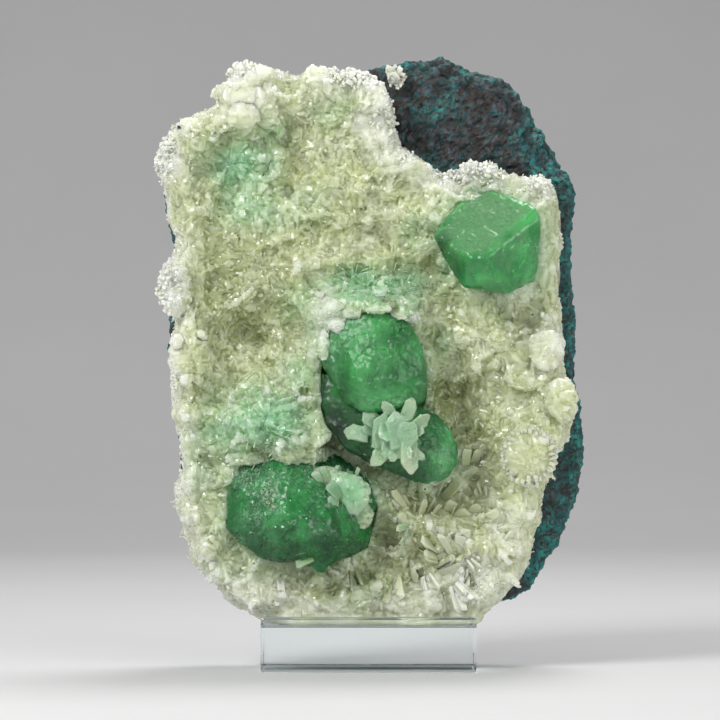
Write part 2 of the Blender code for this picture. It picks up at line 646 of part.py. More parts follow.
def acrylic_stand(name, collection, cutters):
    """A clear block with a shallow channel along its top."""
    half_x, half_y = STAND_WIDTH / 2, STAND_DEPTH / 2
    stand = box(name, (-half_x, -half_y, 0), (half_x, half_y, STAND_HEIGHT), collection)
    channel = box(
        "channel", (-half_x - CHANNEL_RUNOUT, -half_y + STAND_LIP, SHELF),
        (half_x + CHANNEL_RUNOUT, half_y - STAND_LIP, STAND_HEIGHT + CHANNEL_RUNOUT), cutters,
    )
    channel.hide_render = True
    channel.display_type = "WIRE"
    cut = stand.modifiers.new("channel", "BOOLEAN")
    cut.operation = "DIFFERENCE"
    cut.solver = "EXACT"
    cut.object = channel
    edges = stand.modifiers.new("rounded edges", "BEVEL")
    edges.width = STAND_ROUNDING * MM
    edges.segments = STAND_ROUNDING_STEPS
    edges.limit_method = "ANGLE"
    return stand


def main():
    for old in list(bpy.data.objects):
        bpy.data.objects.remove(old, do_unlink=True)
    specimen = bpy.data.collections.new("apophyllite specimen")
    cutters = bpy.data.collections.new("cutters")
    bpy.context.scene.collection.children.link(specimen)
    bpy.context.scene.collection.children.link(cutters)
    acrylic = material("clear acrylic", (0.92, 0.94, 0.95), 0.06, 1.0, 1.49)
    basalt = material("basalt with a teal skin", (0.06, 0.07, 0.065), 0.8)
    stilbite = material("pale stilbite", (0.72, 0.76, 0.58), 0.35, 0.2, 1.5)
    apophyllite = material("green apophyllite", (0.1, 0.45, 0.2), 0.2, 0.6, 1.535)
    pieces = [
        (acrylic_stand("acrylic_stand", specimen, cutters), acrylic),
        (basalt_matrix("basalt_matrix", specimen), basalt),
        (stilbite_crust("stilbite_crust", specimen), stilbite),
        (apophyllite_upper_right("apophyllite_upper_right", specimen), apophyllite),
        (apophyllite_centre("apophyllite_centre", specimen), apophyllite),
        (apophyllite_lower_left("apophyllite_lower_left", specimen), apophyllite),
        (stilbite_chip("stilbite_chip", specimen), stilbite),
    ]
    spray = stilbite_spray("stilbite_spray", specimen)
    for grown in (apophyllite_centre, apophyllite_lower_left):
        join_or_cut(spray, grown("spray_pocket", specimen, GAP), "DIFFERENCE")
    keep_largest(spray)
    pieces.append((spray, stilbite))
    for thing, finish in pieces:
        thing.data.materials.clear()
        thing.data.materials.append(finish)


main()
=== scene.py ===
# %% [markdown]
# # A green apophyllite specimen
# The imported model gives every piece its size and place. This lesson dresses it: a crust of
# pale stilbite blades, three green crystals, the dark stone behind them and a clear block.
# The dressed one has to stay the same size.

# %% The fixed frame
import math
import random

import bmesh
import bpy
import numpy as np
from mathutils import Matrix, Vector, noise
from mathutils.bvhtree import BVHTree


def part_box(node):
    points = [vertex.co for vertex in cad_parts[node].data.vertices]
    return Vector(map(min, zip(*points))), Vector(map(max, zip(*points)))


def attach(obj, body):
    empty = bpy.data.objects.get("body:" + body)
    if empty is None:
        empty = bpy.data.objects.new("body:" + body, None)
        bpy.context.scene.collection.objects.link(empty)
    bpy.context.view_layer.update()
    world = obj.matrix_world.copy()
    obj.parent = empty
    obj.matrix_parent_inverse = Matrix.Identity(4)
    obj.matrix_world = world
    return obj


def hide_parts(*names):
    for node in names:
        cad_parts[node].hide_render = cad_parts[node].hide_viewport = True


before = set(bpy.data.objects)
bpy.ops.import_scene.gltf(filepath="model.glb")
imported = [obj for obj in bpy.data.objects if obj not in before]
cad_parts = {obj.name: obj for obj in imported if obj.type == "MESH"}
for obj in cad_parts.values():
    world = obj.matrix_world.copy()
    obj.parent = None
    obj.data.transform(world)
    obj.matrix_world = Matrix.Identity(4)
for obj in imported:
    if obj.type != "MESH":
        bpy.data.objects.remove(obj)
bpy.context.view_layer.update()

MM = 0.001
print("nodes:", sorted(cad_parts))

# %% [markdown]
# ## The camera
# The specimen was pictured straight from the front with a long lens, so its sides hardly
# show. A camera far off with a long focal length gives the same flat perspective. The
# places of details are read in steps of 0.3 mm on a plane 8 mm in front of the seam. `spot`
# turns them into millimetres for any depth, and `sight` gives the line of sight to them.

# %% The camera
LENS = 36 * 1.25 / 0.216
CAMERA = Vector((-2.55, -1258.0, 92.7))
camera = bpy.data.objects.new("camera", bpy.data.cameras.new("camera"))
camera.data.sensor_width = 36
camera.data.lens = LENS
camera.data.clip_start = 0.05
camera.location = CAMERA * MM
camera.rotation_euler = (math.pi / 2, 0, 0)
bpy.context.scene.collection.objects.link(camera)
bpy.context.scene.camera = camera

STEP = 0.30
MIDDLE_COLUMN = 368.5
FLOOR_ROW = 669.0
READ_DEPTH = -8.0


def spot(column, row, depth=READ_DEPTH):
    """A place in the picture as millimetres right of the middle and above the floor."""
    share = (depth - CAMERA.y) / (READ_DEPTH - CAMERA.y)
    x, z = (column - MIDDLE_COLUMN) * STEP, (FLOOR_ROW - row) * STEP
    return CAMERA.x + (x - CAMERA.x) * share, CAMERA.z + (z - CAMERA.z) * share


def sight(column, row):
    x, z = spot(column, row)
    return (Vector((x, READ_DEPTH, z)) - CAMERA).normalized()


print("lens", round(LENS, 1), "mm")

# %% [markdown]
# ## Small helpers
# Every piece is a plain mesh with its place in its vertices. The helpers below make an
# object from a mesh, read a mesh's points as an array, and turn live modifiers into a mesh.
# Working in arrays of millimetres keeps the later cells short.

# %% Helpers for meshes


def new_piece(name, mesh):
    piece = bpy.data.objects.new(name, mesh)
    bpy.context.scene.collection.objects.link(piece)
    return piece


def points_of(piece):
    points = np.empty(len(piece.data.vertices) * 3)
    piece.data.vertices.foreach_get("co", points)
    return points.reshape(-1, 3) / MM


def normals_of(piece):
    normals = np.empty(len(piece.data.vertices) * 3, dtype=np.float32)
    piece.data.vertex_normals.foreach_get("vector", normals)
    return normals.reshape(-1, 3).astype(float)


def move_points(piece, points):
    piece.data.vertices.foreach_set("co", (points * MM).ravel())
    piece.data.update()


def settle(piece):
    """Puts the result of the live modifiers in place of the piece's own mesh."""
    graph = bpy.context.evaluated_depsgraph_get()
    graph.update()
    made = bpy.data.meshes.new_from_object(piece.evaluated_get(graph))
    piece.modifiers.clear()
    piece.data = made


def merged_copy(node, name):
    """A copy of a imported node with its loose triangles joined."""
    shape = bmesh.new()
    shape.from_mesh(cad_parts[node].data)
    bmesh.ops.remove_doubles(shape, verts=shape.verts, dist=0.000002)
    mesh = bpy.data.meshes.new(name)
    shape.to_mesh(mesh)
    shape.free()
    return new_piece(name, mesh)


def even_cells(piece, size, smooth=0):
    """Remeshes a closed piece into even cells, and softens it if asked."""
    cells = piece.modifiers.new("cells", "REMESH")
    cells.mode = "VOXEL"
    cells.voxel_size = size * MM
    if smooth:
        soft = piece.modifiers.new("soft", "SMOOTH")
        soft.iterations = smooth
        soft.factor = 0.5
    settle(piece)


def note(piece, name, values):
    """Stores one number for each vertex, which materials and node trees can read."""
    mesh = piece.data
    layer = mesh.attributes.get(name) or mesh.attributes.new(name, "FLOAT", "POINT")
    layer.data.foreach_set("value", np.asarray(values, dtype=np.float32))


def triangles_in(piece):
    piece.data.calc_loop_triangles()
    return len(piece.data.loop_triangles)


print("helpers ready")

# %% More helpers for meshes


def joined(name, pieces):
    """All the pieces' meshes in one mesh, not yet fused."""
    shape = bmesh.new()
    for piece in pieces:
        shape.from_mesh(piece.data)
    mesh = bpy.data.meshes.new(name)
    shape.to_mesh(mesh)
    shape.free()
    return new_piece(name, mesh)


def thinned(piece, most):
    """Collapses edges where the surface is flattest, down to a number of triangles."""
    count = triangles_in(piece)
    if count > most:
        fewer = piece.modifiers.new("fewer", "DECIMATE")
        fewer.ratio = most / count
        settle(piece)


def shade_crisply(piece, angle):
    """Smooth shading, with an edge wherever two faces turn by more than the angle."""
    for polygon in piece.data.polygons:
        polygon.use_smooth = True
    piece.data.set_sharp_from_angle(angle=math.radians(angle))


def give_finish(piece, finish):
    """Gives a piece one finish in place of any that it had."""
    piece.data.materials.clear()
    piece.data.materials.append(finish)


def softened(piece, points, rounds):
    """The points after each has moved to the middle of its neighbours, several times."""
    pairs = np.empty(len(piece.data.edges) * 2, dtype=np.int32)
    piece.data.edges.foreach_get("vertices", pairs)
    first, second = pairs.reshape(-1, 2).T
    count = np.bincount(np.concatenate([first, second]), minlength=len(points))
    soft = points.copy()
    for _ in range(rounds):
        for axis in range(3):
            total = np.bincount(first, soft[second, axis], len(points))
            total += np.bincount(second, soft[first, axis], len(points))
            soft[:, axis] = total / np.maximum(count, 1)
    return soft


def relief(piece, points, rounds):
    """How far each point stands out of the softened surface round it, in millimetres."""
    return ((points - softened(piece, points, rounds)) * normals_of(piece)).sum(axis=1)


def tree_of(*pieces):
    """A search tree over meshes, for distances and for lines of sight."""
    shape = bmesh.new()
    for piece in pieces:
        shape.from_mesh(piece.data)
    tree = BVHTree.FromBMesh(shape)
    shape.free()
    return tree


def noise_at(points, size, seed=0.0):
    return np.array([noise.noise(Vector(p) / size + Vector((seed, seed, seed))) for p in points])


def small_facets(points, size, tilt):
    """Flat patches at random slopes, in three dimensions."""
    rise = np.empty(len(points))
    for index, point in enumerate(points):
        place = Vector(point) / size
        middle = noise.voronoi(place)[1][0]
        slope = noise.cell_vector(middle * 9.1) * 2.0 - Vector((1.0, 1.0, 1.0))
        rise[index] = slope.dot(place - middle) + 0.3 * slope.x
    return rise * tilt


print("helpers for points ready")

# %% [markdown]
# ## Helpers for materials
# A material here is a small tree of nodes. Adding a node, setting its values and linking
# it takes three lines each time, so one helper does all of it. Noise is always read from
# object coordinates, which stay on the piece wherever the camera stands.

# %% Helpers for node trees


def add(tree, kind, inputs=None, **settings):
    """Adds a node, sets its properties, and links or sets its inputs."""
    node = tree.nodes.new(kind)
    for key, value in settings.items():
        setattr(node, key, value)
    for key, value in (inputs or {}).items():
        if isinstance(value, bpy.types.NodeSocket):
            tree.links.new(value, node.inputs[key])
        else:
            node.inputs[key].default_value = value
    return node


def new_finish(name):
    """An empty material with its output and its Principled shader."""
    finish = bpy.data.materials.new(name)
    finish.use_nodes = True
    tree = finish.node_tree
    return finish, tree, tree.nodes["Principled BSDF"]


def blend_colours(tree, share, first, second, how="MIX"):
    """Mixes two colours, each a value or another node's output."""
    node = add(tree, "ShaderNodeMix", data_type="RGBA", blend_type=how)
    for place, value in ((0, share), (6, first), (7, second)):
        if isinstance(value, bpy.types.NodeSocket):
            tree.links.new(value, node.inputs[place])
        else:
            node.inputs[place].default_value = value
    return node.outputs[2]


def spread(tree, value, low, high, new_low=0.0, new_high=1.0):
    """Stretches a range of values to another one, and cuts off what lies outside."""
    node = add(tree, "ShaderNodeMapRange", {
        "Value": value, "From Min": low, "From Max": high, "To Min": new_low, "To Max": new_high,
    })
    return node.outputs["Result"]


def sums(tree, operation, first, second=0.0):
    node = add(tree, "ShaderNodeMath", operation=operation)
    for place, value in ((0, first), (1, second)):
        if isinstance(value, bpy.types.NodeSocket):
            tree.links.new(value, node.inputs[place])
        else:
            node.inputs[place].default_value = value
    return node.outputs[0]


def read_note(tree, name, output="Fac"):
    return add(tree, "ShaderNodeAttribute", attribute_name=name).outputs[output]


def object_place(tree):
    return tree.nodes.new("ShaderNodeTexCoord").outputs["Object"]


def noise_on(tree, place, scale, detail, rough=0.5):
    """A soft random pattern."""
    settings = {"Vector": place, "Scale": scale, "Detail": detail, "Roughness": rough}
    return add(tree, "ShaderNodeTexNoise", settings).outputs[0]


def cells_on(tree, place, scale):
    """A pattern of cells: how far from a cell's middle, and a colour for each cell."""
    return add(tree, "ShaderNodeTexVoronoi", {"Vector": place, "Scale": scale}).outputs


def bump_on(tree, shader, height, strength, depth):
    bump = add(tree, "ShaderNodeBump", {"Height": height, "Strength": strength, "Distance": depth})
    tree.links.new(bump.outputs[0], shader.inputs["Normal"])


def absorb_in(tree, tint, density):
    """Light that crosses the piece takes on a tint, the more the longer its way."""
    absorb = add(tree, "ShaderNodeVolumeAbsorption", {"Color": tint, "Density": density})
    tree.links.new(absorb.outputs[0], tree.nodes["Material Output"].inputs["Volume"])


def colour(red, green, blue):
    """A colour given as it looks on a screen, from 0 to 255, as the light it stands for."""
    values = []
    for part in (red, green, blue):
        part /= 255
        values.append(part / 12.92 if part <= 0.04045 else ((part + 0.055) / 1.055) ** 2.4)
    return (*values, 1.0)


print("cream is", [round(v, 2) for v in colour(215, 220, 200)])

# %% [markdown]
# ## A shared effect: fine growth
# Both minerals show faint cloudiness inside and fine lines where they grew layer by layer.
# One shader group makes both from a position: a soft cloud mask, a fine grain and a height
# for the bump. Each material places it with its own sizes, so the effect is built once.

# %% The growth group


def growth_group():
    group = bpy.data.node_groups.new("fine growth", "ShaderNodeTree")
    face = group.interface
    for kind, names in (("Vector", ("Position", "Stretch")), ("Float", ("Cloud size", "Grain size"))):
        for name in names:
            face.new_socket(name, in_out="INPUT", socket_type="NodeSocket" + kind)
    for name in ("Cloud", "Grain", "Height"):
        face.new_socket(name, in_out="OUTPUT", socket_type="NodeSocketFloat")
    source = group.nodes.new("NodeGroupInput").outputs
    cloud = add(group, "ShaderNodeTexNoise", {
        "Vector": source["Position"], "Scale": source["Cloud size"], "Detail": 4.0, "Roughness": 0.6,
    })
    drawn = add(group, "ShaderNodeVectorMath", {
        0: source["Position"], 1: source["Stretch"],
    }, operation="MULTIPLY")
    grain = add(group, "ShaderNodeTexNoise", {
        "Vector": drawn.outputs[0], "Scale": source["Grain size"], "Detail": 3.0, "Roughness": 0.65,
    })
    height = sums(group, "ADD", sums(group, "MULTIPLY", cloud.outputs[0], 0.35), grain.outputs[0])
    sink = group.nodes.new("NodeGroupOutput")
    group.links.new(spread(group, cloud.outputs[0], 0.35, 0.68), sink.inputs["Cloud"])
    group.links.new(grain.outputs[0], sink.inputs["Grain"])
    group.links.new(height, sink.inputs["Height"])
    return group


GROWTH = growth_group()
print("growth group has", len(GROWTH.nodes), "nodes")


def place_growth(tree, cloud_size, grain_size, stretch=(1, 1, 1), position=None):
    if position is None:
        position = object_place(tree)
    return add(tree, "ShaderNodeGroup", {
        "Position": position, "Cloud size": cloud_size, "Grain size": grain_size, "Stretch": stretch,
    }, node_tree=GROWTH).outputs

# %% [markdown]
# ## The green crystals
# Apophyllite grows in blocks with a square end and sloping corner faces, and these three
# are worn and partly overgrown. Their corners can be read off the picture and given a
# depth, and the tightest shape round a set of corners, a convex hull, has flat faces just
# like a crystal. A crystal of several parts is several such shapes, fused by a remesh.

# %% Corners of the crystals
# column, row, depth in millimetres
UPPER_RIGHT_PARTS = [[
    (433, 236, -24), (442, 223, -20), (461, 201, -15), (474, 191, -13), (485, 187.5, -12.5),
    (497, 193, -15), (512, 197.5, -19), (524, 201, -22), (537, 208.5, -27), (540.5, 217, -28),
    (541, 233, -27), (468, 257, -35.5), (486, 258, -36.5), (451, 270, -25), (459, 281, -29),
    (464, 287.5, -31), (480, 288.5, -32.5), (494, 293, -31), (508, 294, -29.5), (520, 288, -26),
    (535, 281, -21), (538, 262, -23.5), (440, 240, -3), (472, 200, -3), (530, 212, -3), (532, 274, -3),
    (500, 288, -3), (462, 278, -3),
]]
CENTRE_PARTS = [
    [
        (337, 320, -27), (357, 313.5, -28.5), (373, 311, -29), (395, 313.5, -29), (411, 325, -28),
        (419, 341, -28), (424, 360, -28.5), (427, 384, -29), (420, 402, -29.5), (397, 411, -31),
        (366, 413, -31), (346, 405, -30), (325, 368, -27), (319, 357, -25), (322, 343, -25),
        (329, 330, -26), (372, 352, -33.5), (394, 348, -33), (352, 372, -32.5), (396, 384, -34),
        (370, 392, -33.5), (335, 325, -4), (400, 318, -4), (424, 360, -4), (426, 402, -4), (345, 402, -4),
        (322, 360, -4),
    ],
    [
        (321, 372, -20), (320, 402, -21), (326, 425, -22), (345, 449, -23), (372, 464, -24.5),
        (402, 477, -25.5), (425, 484, -26.5), (446, 480, -26), (457, 464, -24), (458, 447, -23),
        (451, 431, -22.5), (437, 414, -22.5), (400, 408, -28), (350, 404, -26), (385, 440, -29.5),
        (425, 450, -28.5), (330, 385, -4), (330, 420, -4), (370, 460, -4), (425, 478, -4), (450, 462, -4),
        (436, 416, -4),
    ],
]
LOWER_LEFT_PARTS = [
    [
        (231, 466, -13), (262, 449, -15), (300, 446, -17), (340, 456, -16), (367, 477, -14),
        (287, 472, -27), (284, 512, -34), (291, 526, -35), (330, 519, -32.5), (306, 540, -34),
        (338, 536, -31), (226, 496, -18), (226, 527, -19), (243, 546, -20), (259, 558, -21),
        (273, 562, -22), (300, 563, -23.5), (322, 564, -23), (336, 561, -21.5), (354, 556, -19),
        (368, 548, -16), (373, 528, -15), (378, 507, -14), (372, 494, -14), (240, 470, -3), (300, 455, -3),
        (362, 480, -3), (370, 520, -3), (350, 548, -3), (275, 555, -3), (236, 530, -3),
    ],
    [
        (305, 552, -26), (336, 550, -24), (316, 572.5, -23.5), (324, 573, -22.5), (308, 560, -12),
        (332, 558, -12), (320, 566, -12),
    ],
]


def crystal_form(name, parts):
    """A closed shape round each set of corners, all in one mesh."""
    forms = bmesh.new()
    for corners in parts:
        shape = bmesh.new()
        for column, row, depth in corners:
            x, z = spot(column, row, depth)
            shape.verts.new(Vector((x, depth, z)) * MM)
        bmesh.ops.convex_hull(shape, input=shape.verts)
        bmesh.ops.delete(shape, geom=[v for v in shape.verts if not v.link_faces], context="VERTS")
        bmesh.ops.dissolve_limit(shape, angle_limit=0.06, verts=shape.verts, edges=shape.edges)
        bmesh.ops.triangulate(shape, faces=shape.faces)
        part = bpy.data.meshes.new("part")
        shape.to_mesh(part)
        shape.free()
        forms.from_mesh(part)
    mesh = bpy.data.meshes.new(name)
    forms.to_mesh(mesh)
    forms.free()
    return new_piece(name, mesh)


def sharp_edges(form):
    """The edges between two faces of the form, as two arrays of end points."""
    shape = bmesh.new()
    shape.from_mesh(form.data)
    found = [e for e in shape.edges if len(e.link_faces) == 2 and e.calc_face_angle(0) > 0.35]
    starts = np.array([e.verts[0].co[:] for e in found]) / MM
    ends = np.array([e.verts[1].co[:] for e in found]) / MM
    shape.free()
    return starts, ends


def distance_to_edges(points, starts, ends):
    nearest = np.full(len(points), 1e3)
    for start, end in zip(starts, ends):
        run = end - start
        share = np.clip(((points - start) @ run) / max(run @ run, 1e-9), 0, 1)
        nearest = np.minimum(nearest, np.linalg.norm(points - start - share[:, None] * run, axis=1))
    return nearest


forms = {
    "apophyllite_upper_right": crystal_form("upper_right_form", UPPER_RIGHT_PARTS),
    "apophyllite_centre": crystal_form("centre_form", CENTRE_PARTS),
    "apophyllite_lower_left": crystal_form("lower_left_form", LOWER_LEFT_PARTS),
}
for node, form in forms.items():
    low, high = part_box(node)
    size = [round((b - a) / MM, 1) for a, b in zip(low, high)]
    made = points_of(form)
    print(node, "packed", size, "form", (made.max(axis=0) - made.min(axis=0)).round(1))

# %% [markdown]
# The faces aren't smooth. They carry low square plates, fine lines and shallow facets, and
# their edges are rubbed round and chipped. A displacement modifier could do it with a
# picture, but plates that follow a face need to know the face's direction. So every vertex
# of the fine mesh is moved one by one, and the relief is in the shape as well as in the light.
# Three notes stay on the vertices for the finish: the pearly end, the edges and the veils.

# %% Plates, lines and worn edges
CRYSTAL_CELL = 0.42
CRYSTAL_MOST = 90000
CRYSTAL_ANGLE = 32
PLATE_SIZE = 5.5
PLATE_STEP = 0.16
SWELL = 0.22
WEAR = 0.55
EDGE_ROUND = 0.45


def plate_height(point, way):
    """Low plates at two sizes, measured in the plane of the face."""
    across = Vector((0.71, 0.0, 0.70)) - way * way.dot(Vector((0.71, 0.0, 0.70)))
    across.normalize()
    u, v = point.dot(across), point.dot(way.cross(across))
    rise = 0.0
    for size, step in ((PLATE_SIZE, PLATE_STEP), (PLATE_SIZE / 3, PLATE_STEP * 0.6)):
        place = Vector((u / size, v / size, way.x * 2.0 + way.z * 3.0))
        middle = noise.voronoi(place, distance_metric="CHEBYCHEV")[1][0]
        pick = noise.cell_vector(middle * 5.3)
        rise += step * (pick.x - 0.5)
        rise += step * ((pick.y - 0.5) * (place.x - middle.x) + (pick.z - 0.5) * (place.y - middle.y))
    return rise + 0.06 * noise.noise(Vector((u * 1.7, v * 0.25, 4.0)))


def dressed_crystal(node, cap_way, roughness):
    form = forms[node]
    piece = joined(node + "_dressed", [form])
    even_cells(piece, CRYSTAL_CELL)
    points, normals = points_of(piece), normals_of(piece)
    soft = softened(piece, points, 4)
    edge_gap = distance_to_edges(points, *sharp_edges(form))
    worn = np.exp(-edge_gap / EDGE_ROUND)[:, None]
    points = points * (1 - worn) + soft * worn
    rise = np.array([plate_height(Vector(p), Vector(n).normalized()) for p, n in zip(points, normals)])
    rise *= np.clip(edge_gap / 1.5, 0.2, 1)
    facets = small_facets(points, 2.0, 0.30) + small_facets(points, 5.0, 0.26)
    rise += roughness * (SWELL * noise_at(points, 3.4, 5.0) + facets)
    rise -= np.exp(-edge_gap / 0.6) * WEAR * np.clip(noise_at(points, 3.0, 40.0) + 0.25, 0, 1)
    move_points(piece, points + normals * rise[:, None])
    note(piece, "cap", np.clip((normals @ np.array(cap_way) - 0.80) / 0.12, 0, 1))
    note(piece, "edge", np.exp(-edge_gap / 2.6))
    veil = 0.5 + 0.9 * noise_at(points, 7.0, 70.0) + 0.5 * noise_at(points, 2.6, 80.0)
    note(piece, "veil", np.clip(veil, 0, 1))
    thinned(piece, CRYSTAL_MOST)
    shade_crisply(piece, CRYSTAL_ANGLE)
    print(piece.name, triangles_in(piece), "triangles")
    return piece


upper_right = dressed_crystal("apophyllite_upper_right", (-0.2765, -0.591, 0.7586), 0.5)
centre = dressed_crystal("apophyllite_centre", (0.0, -1.0, 0.0), 1.0)
lower_left = dressed_crystal("apophyllite_lower_left", (-0.9, -0.35, 0.2), 1.2)

# %% [markdown]
# ## The tones of the crust
# The stilbite isn't one colour. Its rim is white and chalky, the middle is straw to
# yellow-green, the parts over and beside the green crystals take a mint tint from them,
# and some parts are olive. The olive patches also carry painted shade: the gaps between
# sheaves, the pits and the lower part are darkened with it. A painted picture could say
# where, but it would fit one size and one side only. A few soft oval patches, each with a
# tone and a strength, do it from every side, and numbers on each vertex carry the result
# to every blade.

# %% Soft patches of tone
# column, row, half width, half height, strength
WHITE_PATCHES = [
    (166, 150, 16, 42, 0.9), (160, 215, 13, 30, 0.8), (168, 285, 20, 44, 0.95), (172, 380, 16, 36, 0.7),
    (180, 470, 20, 50, 0.6), (188, 540, 24, 44, 0.45), (235, 592, 48, 24, 0.6), (310, 606, 60, 14, 0.55),
    (400, 604, 56, 16, 0.45), (478, 584, 40, 30, 0.55), (510, 535, 22, 26, 0.4), (238, 68, 26, 14, 0.9),
    (300, 70, 40, 14, 0.55), (358, 76, 40, 22, 1.0), (384, 120, 22, 44, 0.8), (404, 160, 14, 18, 0.7),
    (470, 174, 50, 15, 0.95), (536, 186, 20, 16, 0.9), (252, 98, 34, 16, 0.6), (205, 108, 22, 16, 0.5),
    (548, 345, 22, 28, 0.55), (512, 285, 24, 24, 0.4), (330, 322, 16, 24, 0.6), (412, 318, 10, 8, 0.9),
    (440, 598, 60, 18, 0.4), (300, 480, 10, 8, 0.4), (180, 335, 12, 14, 0.4), (500, 270, 16, 30, 0.35),
]
MINT_PATCHES = [
    (345, 496, 36, 30, 1.0), (384, 428, 52, 34, 1.0), (412, 300, 16, 16, 0.8), (445, 262, 16, 12, 0.8),
    (240, 168, 34, 26, 1.0), (252, 205, 40, 26, 0.65), (272, 142, 18, 22, 0.5), (336, 110, 22, 20, 0.35),
    (372, 286, 58, 22, 1.0), (330, 330, 24, 34, 0.8), (268, 420, 48, 34, 1.0), (228, 432, 34, 34, 0.8),
    (200, 470, 22, 26, 0.5), (430, 460, 26, 24, 0.8), (455, 172, 22, 12, 0.5), (300, 372, 20, 22, 0.6),
    (330, 555, 30, 22, 0.5), (345, 500, 26, 28, 0.5), (240, 575, 34, 16, 0.4), (360, 590, 34, 18, 0.35),
    (440, 345, 14, 22, 0.4), (300, 300, 24, 20, 0.5), (305, 205, 34, 24, 0.25), (415, 235, 14, 22, 0.4),
]
# olive tone, and painted shade in the gaps between sheaves, in pits and along the bottom
OLIVE_AND_SHADE_PATCHES = [
    (240, 285, 54, 50, 0.55), (200, 240, 30, 40, 0.3), (330, 595, 130, 26, 0.55), (192, 520, 26, 60, 0.5),
    (325, 92, 50, 22, 0.5), (340, 190, 60, 50, 0.15), (440, 580, 60, 30, 0.25), (254, 110, 36, 24, 0.1),
    (446, 408, 13, 34, 1.0), (256, 342, 26, 14, 0.8), (478, 436, 26, 26, 0.8), (470, 390, 22, 20, 0.5),
    (392, 520, 20, 24, 0.6), (210, 240, 16, 22, 0.5), (300, 165, 16, 26, 0.4), (370, 184, 10, 8, 0.8),
    (332, 560, 18, 16, 0.5), (236, 265, 26, 16, 0.4), (420, 260, 22, 14, 0.4), (420, 545, 30, 20, 0.5),
    (200, 385, 14, 14, 0.5), (345, 215, 40, 30, 0.3), (455, 300, 20, 20, 0.35), (180, 205, 12, 10, 0.4),
    (216, 350, 16, 12, 0.6), (300, 250, 30, 16, 0.3), (480, 555, 22, 14, 0.4),
]


def patch_strength(points, patches):
    """How strongly a set of soft ovals covers each point, from 0 to 1."""
    total = np.zeros(len(points))
    for column, row, half_width, half_height, strength in patches:
        x, z = spot(column, row)
        reach = ((points[:, 0] - x) / (half_width * STEP)) ** 2
        reach += ((points[:, 2] - z) / (half_height * STEP)) ** 2
        total = np.maximum(total, strength * np.exp(-reach ** 1.3 * 0.8))
    return total


print(len(WHITE_PATCHES) + len(MINT_PATCHES) + len(OLIVE_AND_SHADE_PATCHES), "patches")

# %% [markdown]
# ## The bed of the crust
# Under the blades the crust is one dense mass of grown-together sheaves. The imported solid
# has its lumps, pits and pockets, so a remeshed copy of it makes the bed. It is softened
# and drawn in by the length that the blades stand out again. Where it looks towards a
# green crystal close by it is drawn up to that crystal, so that no gap shows between them.

# %% The bed
BED_CELL = 1.1
BED_INSET = 1.5
FACET = 5.0
POCKET = 6.0
TOUCH = 0.1
SEAM_LINE = 0.2
SEAM_FADE = 0.6
FOOT_LINE = 14.2
FOOT_FADE = 2.0


def free_of_seam(points):
    """1 where the crust may change, 0 on its flat back and on the foot in the block."""
    off_back = np.clip((SEAM_LINE - points[:, 1]) / SEAM_FADE, 0, 1)
    return off_back * np.clip((points[:, 2] - FOOT_LINE) / FOOT_FADE, 0, 1)


bed = merged_copy("stilbite_crust", "stilbite_bed")
even_cells(bed, BED_CELL, smooth=3)
bed_points = points_of(bed)
bed_normals = normals_of(bed)
lift = small_facets(bed_points, FACET, 0.8)
form_tree = tree_of(*forms.values())
nearest = [form_tree.find_nearest(Vector(p) * MM) for p in bed_points]
close = np.array([found[3] / MM for found in nearest])
towards = (np.array([found[0][:] for found in nearest]) / MM - bed_points) / np.maximum(close, 1e-6)[:, None]
facing = np.clip(((bed_normals * towards).sum(axis=1) - 0.1) / 0.4, 0, 1) * (close < POCKET)
bed_points += towards * (facing * np.maximum(close - TOUCH, 0) * free_of_seam(bed_points))[:, None]
inset = np.clip((close - 0.6) / 3.4, 0, 1) * BED_INSET * (1 - facing)
bed_points += bed_normals * (free_of_seam(bed_points) * (lift * np.clip(close / 4.0, 0, 1) - inset))[:, None]
move_points(bed, bed_points)
print("bed:", len(bed_points), "points,", triangles_in(bed), "triangles")

# %% [markdown]
# Where blades may grow is worked out for every vertex: not on the flat back, not on the
# foot in the block, and not in the pockets that the green crystals fill. A vertex near a
# crystal that looks towards it lies in its pocket. The tones become numbers on the
# vertices too, and a thin line of rust follows the seam with the dark stone.

# %% Tone and room to grow
crystal_tree = tree_of(upper_right, centre, lower_left)


def crystals_near(points, reach=30.0):
    """How far each point is from the nearest green crystal, and the way to it."""
    gap = np.full(len(points), reach)
    way = np.zeros((len(points), 3))
    for index, point in enumerate(points):
        found, _, _, far = crystal_tree.find_nearest(Vector(point) * MM, reach * MM)
        if found is not None:
            gap[index] = far / MM
            way[index] = np.array(found) / MM - point
    return gap, way / np.maximum(np.linalg.norm(way, axis=1), 1e-6)[:, None]


def room_to_grow(points, normals):
    gap, towards = crystals_near(points, 6.0)
    in_pocket = (gap < 1.6) & ((normals * towards).sum(axis=1) > 0.3)
    front = np.clip((0.45 - normals[:, 1]) / 0.4, 0, 1)
    room = front * np.clip((-1.0 - points[:, 1]) / 2.5, 0, 1) * np.clip((points[:, 2] - 15.5) / 2, 0, 1)
    return np.where(in_pocket, 0.0, room)


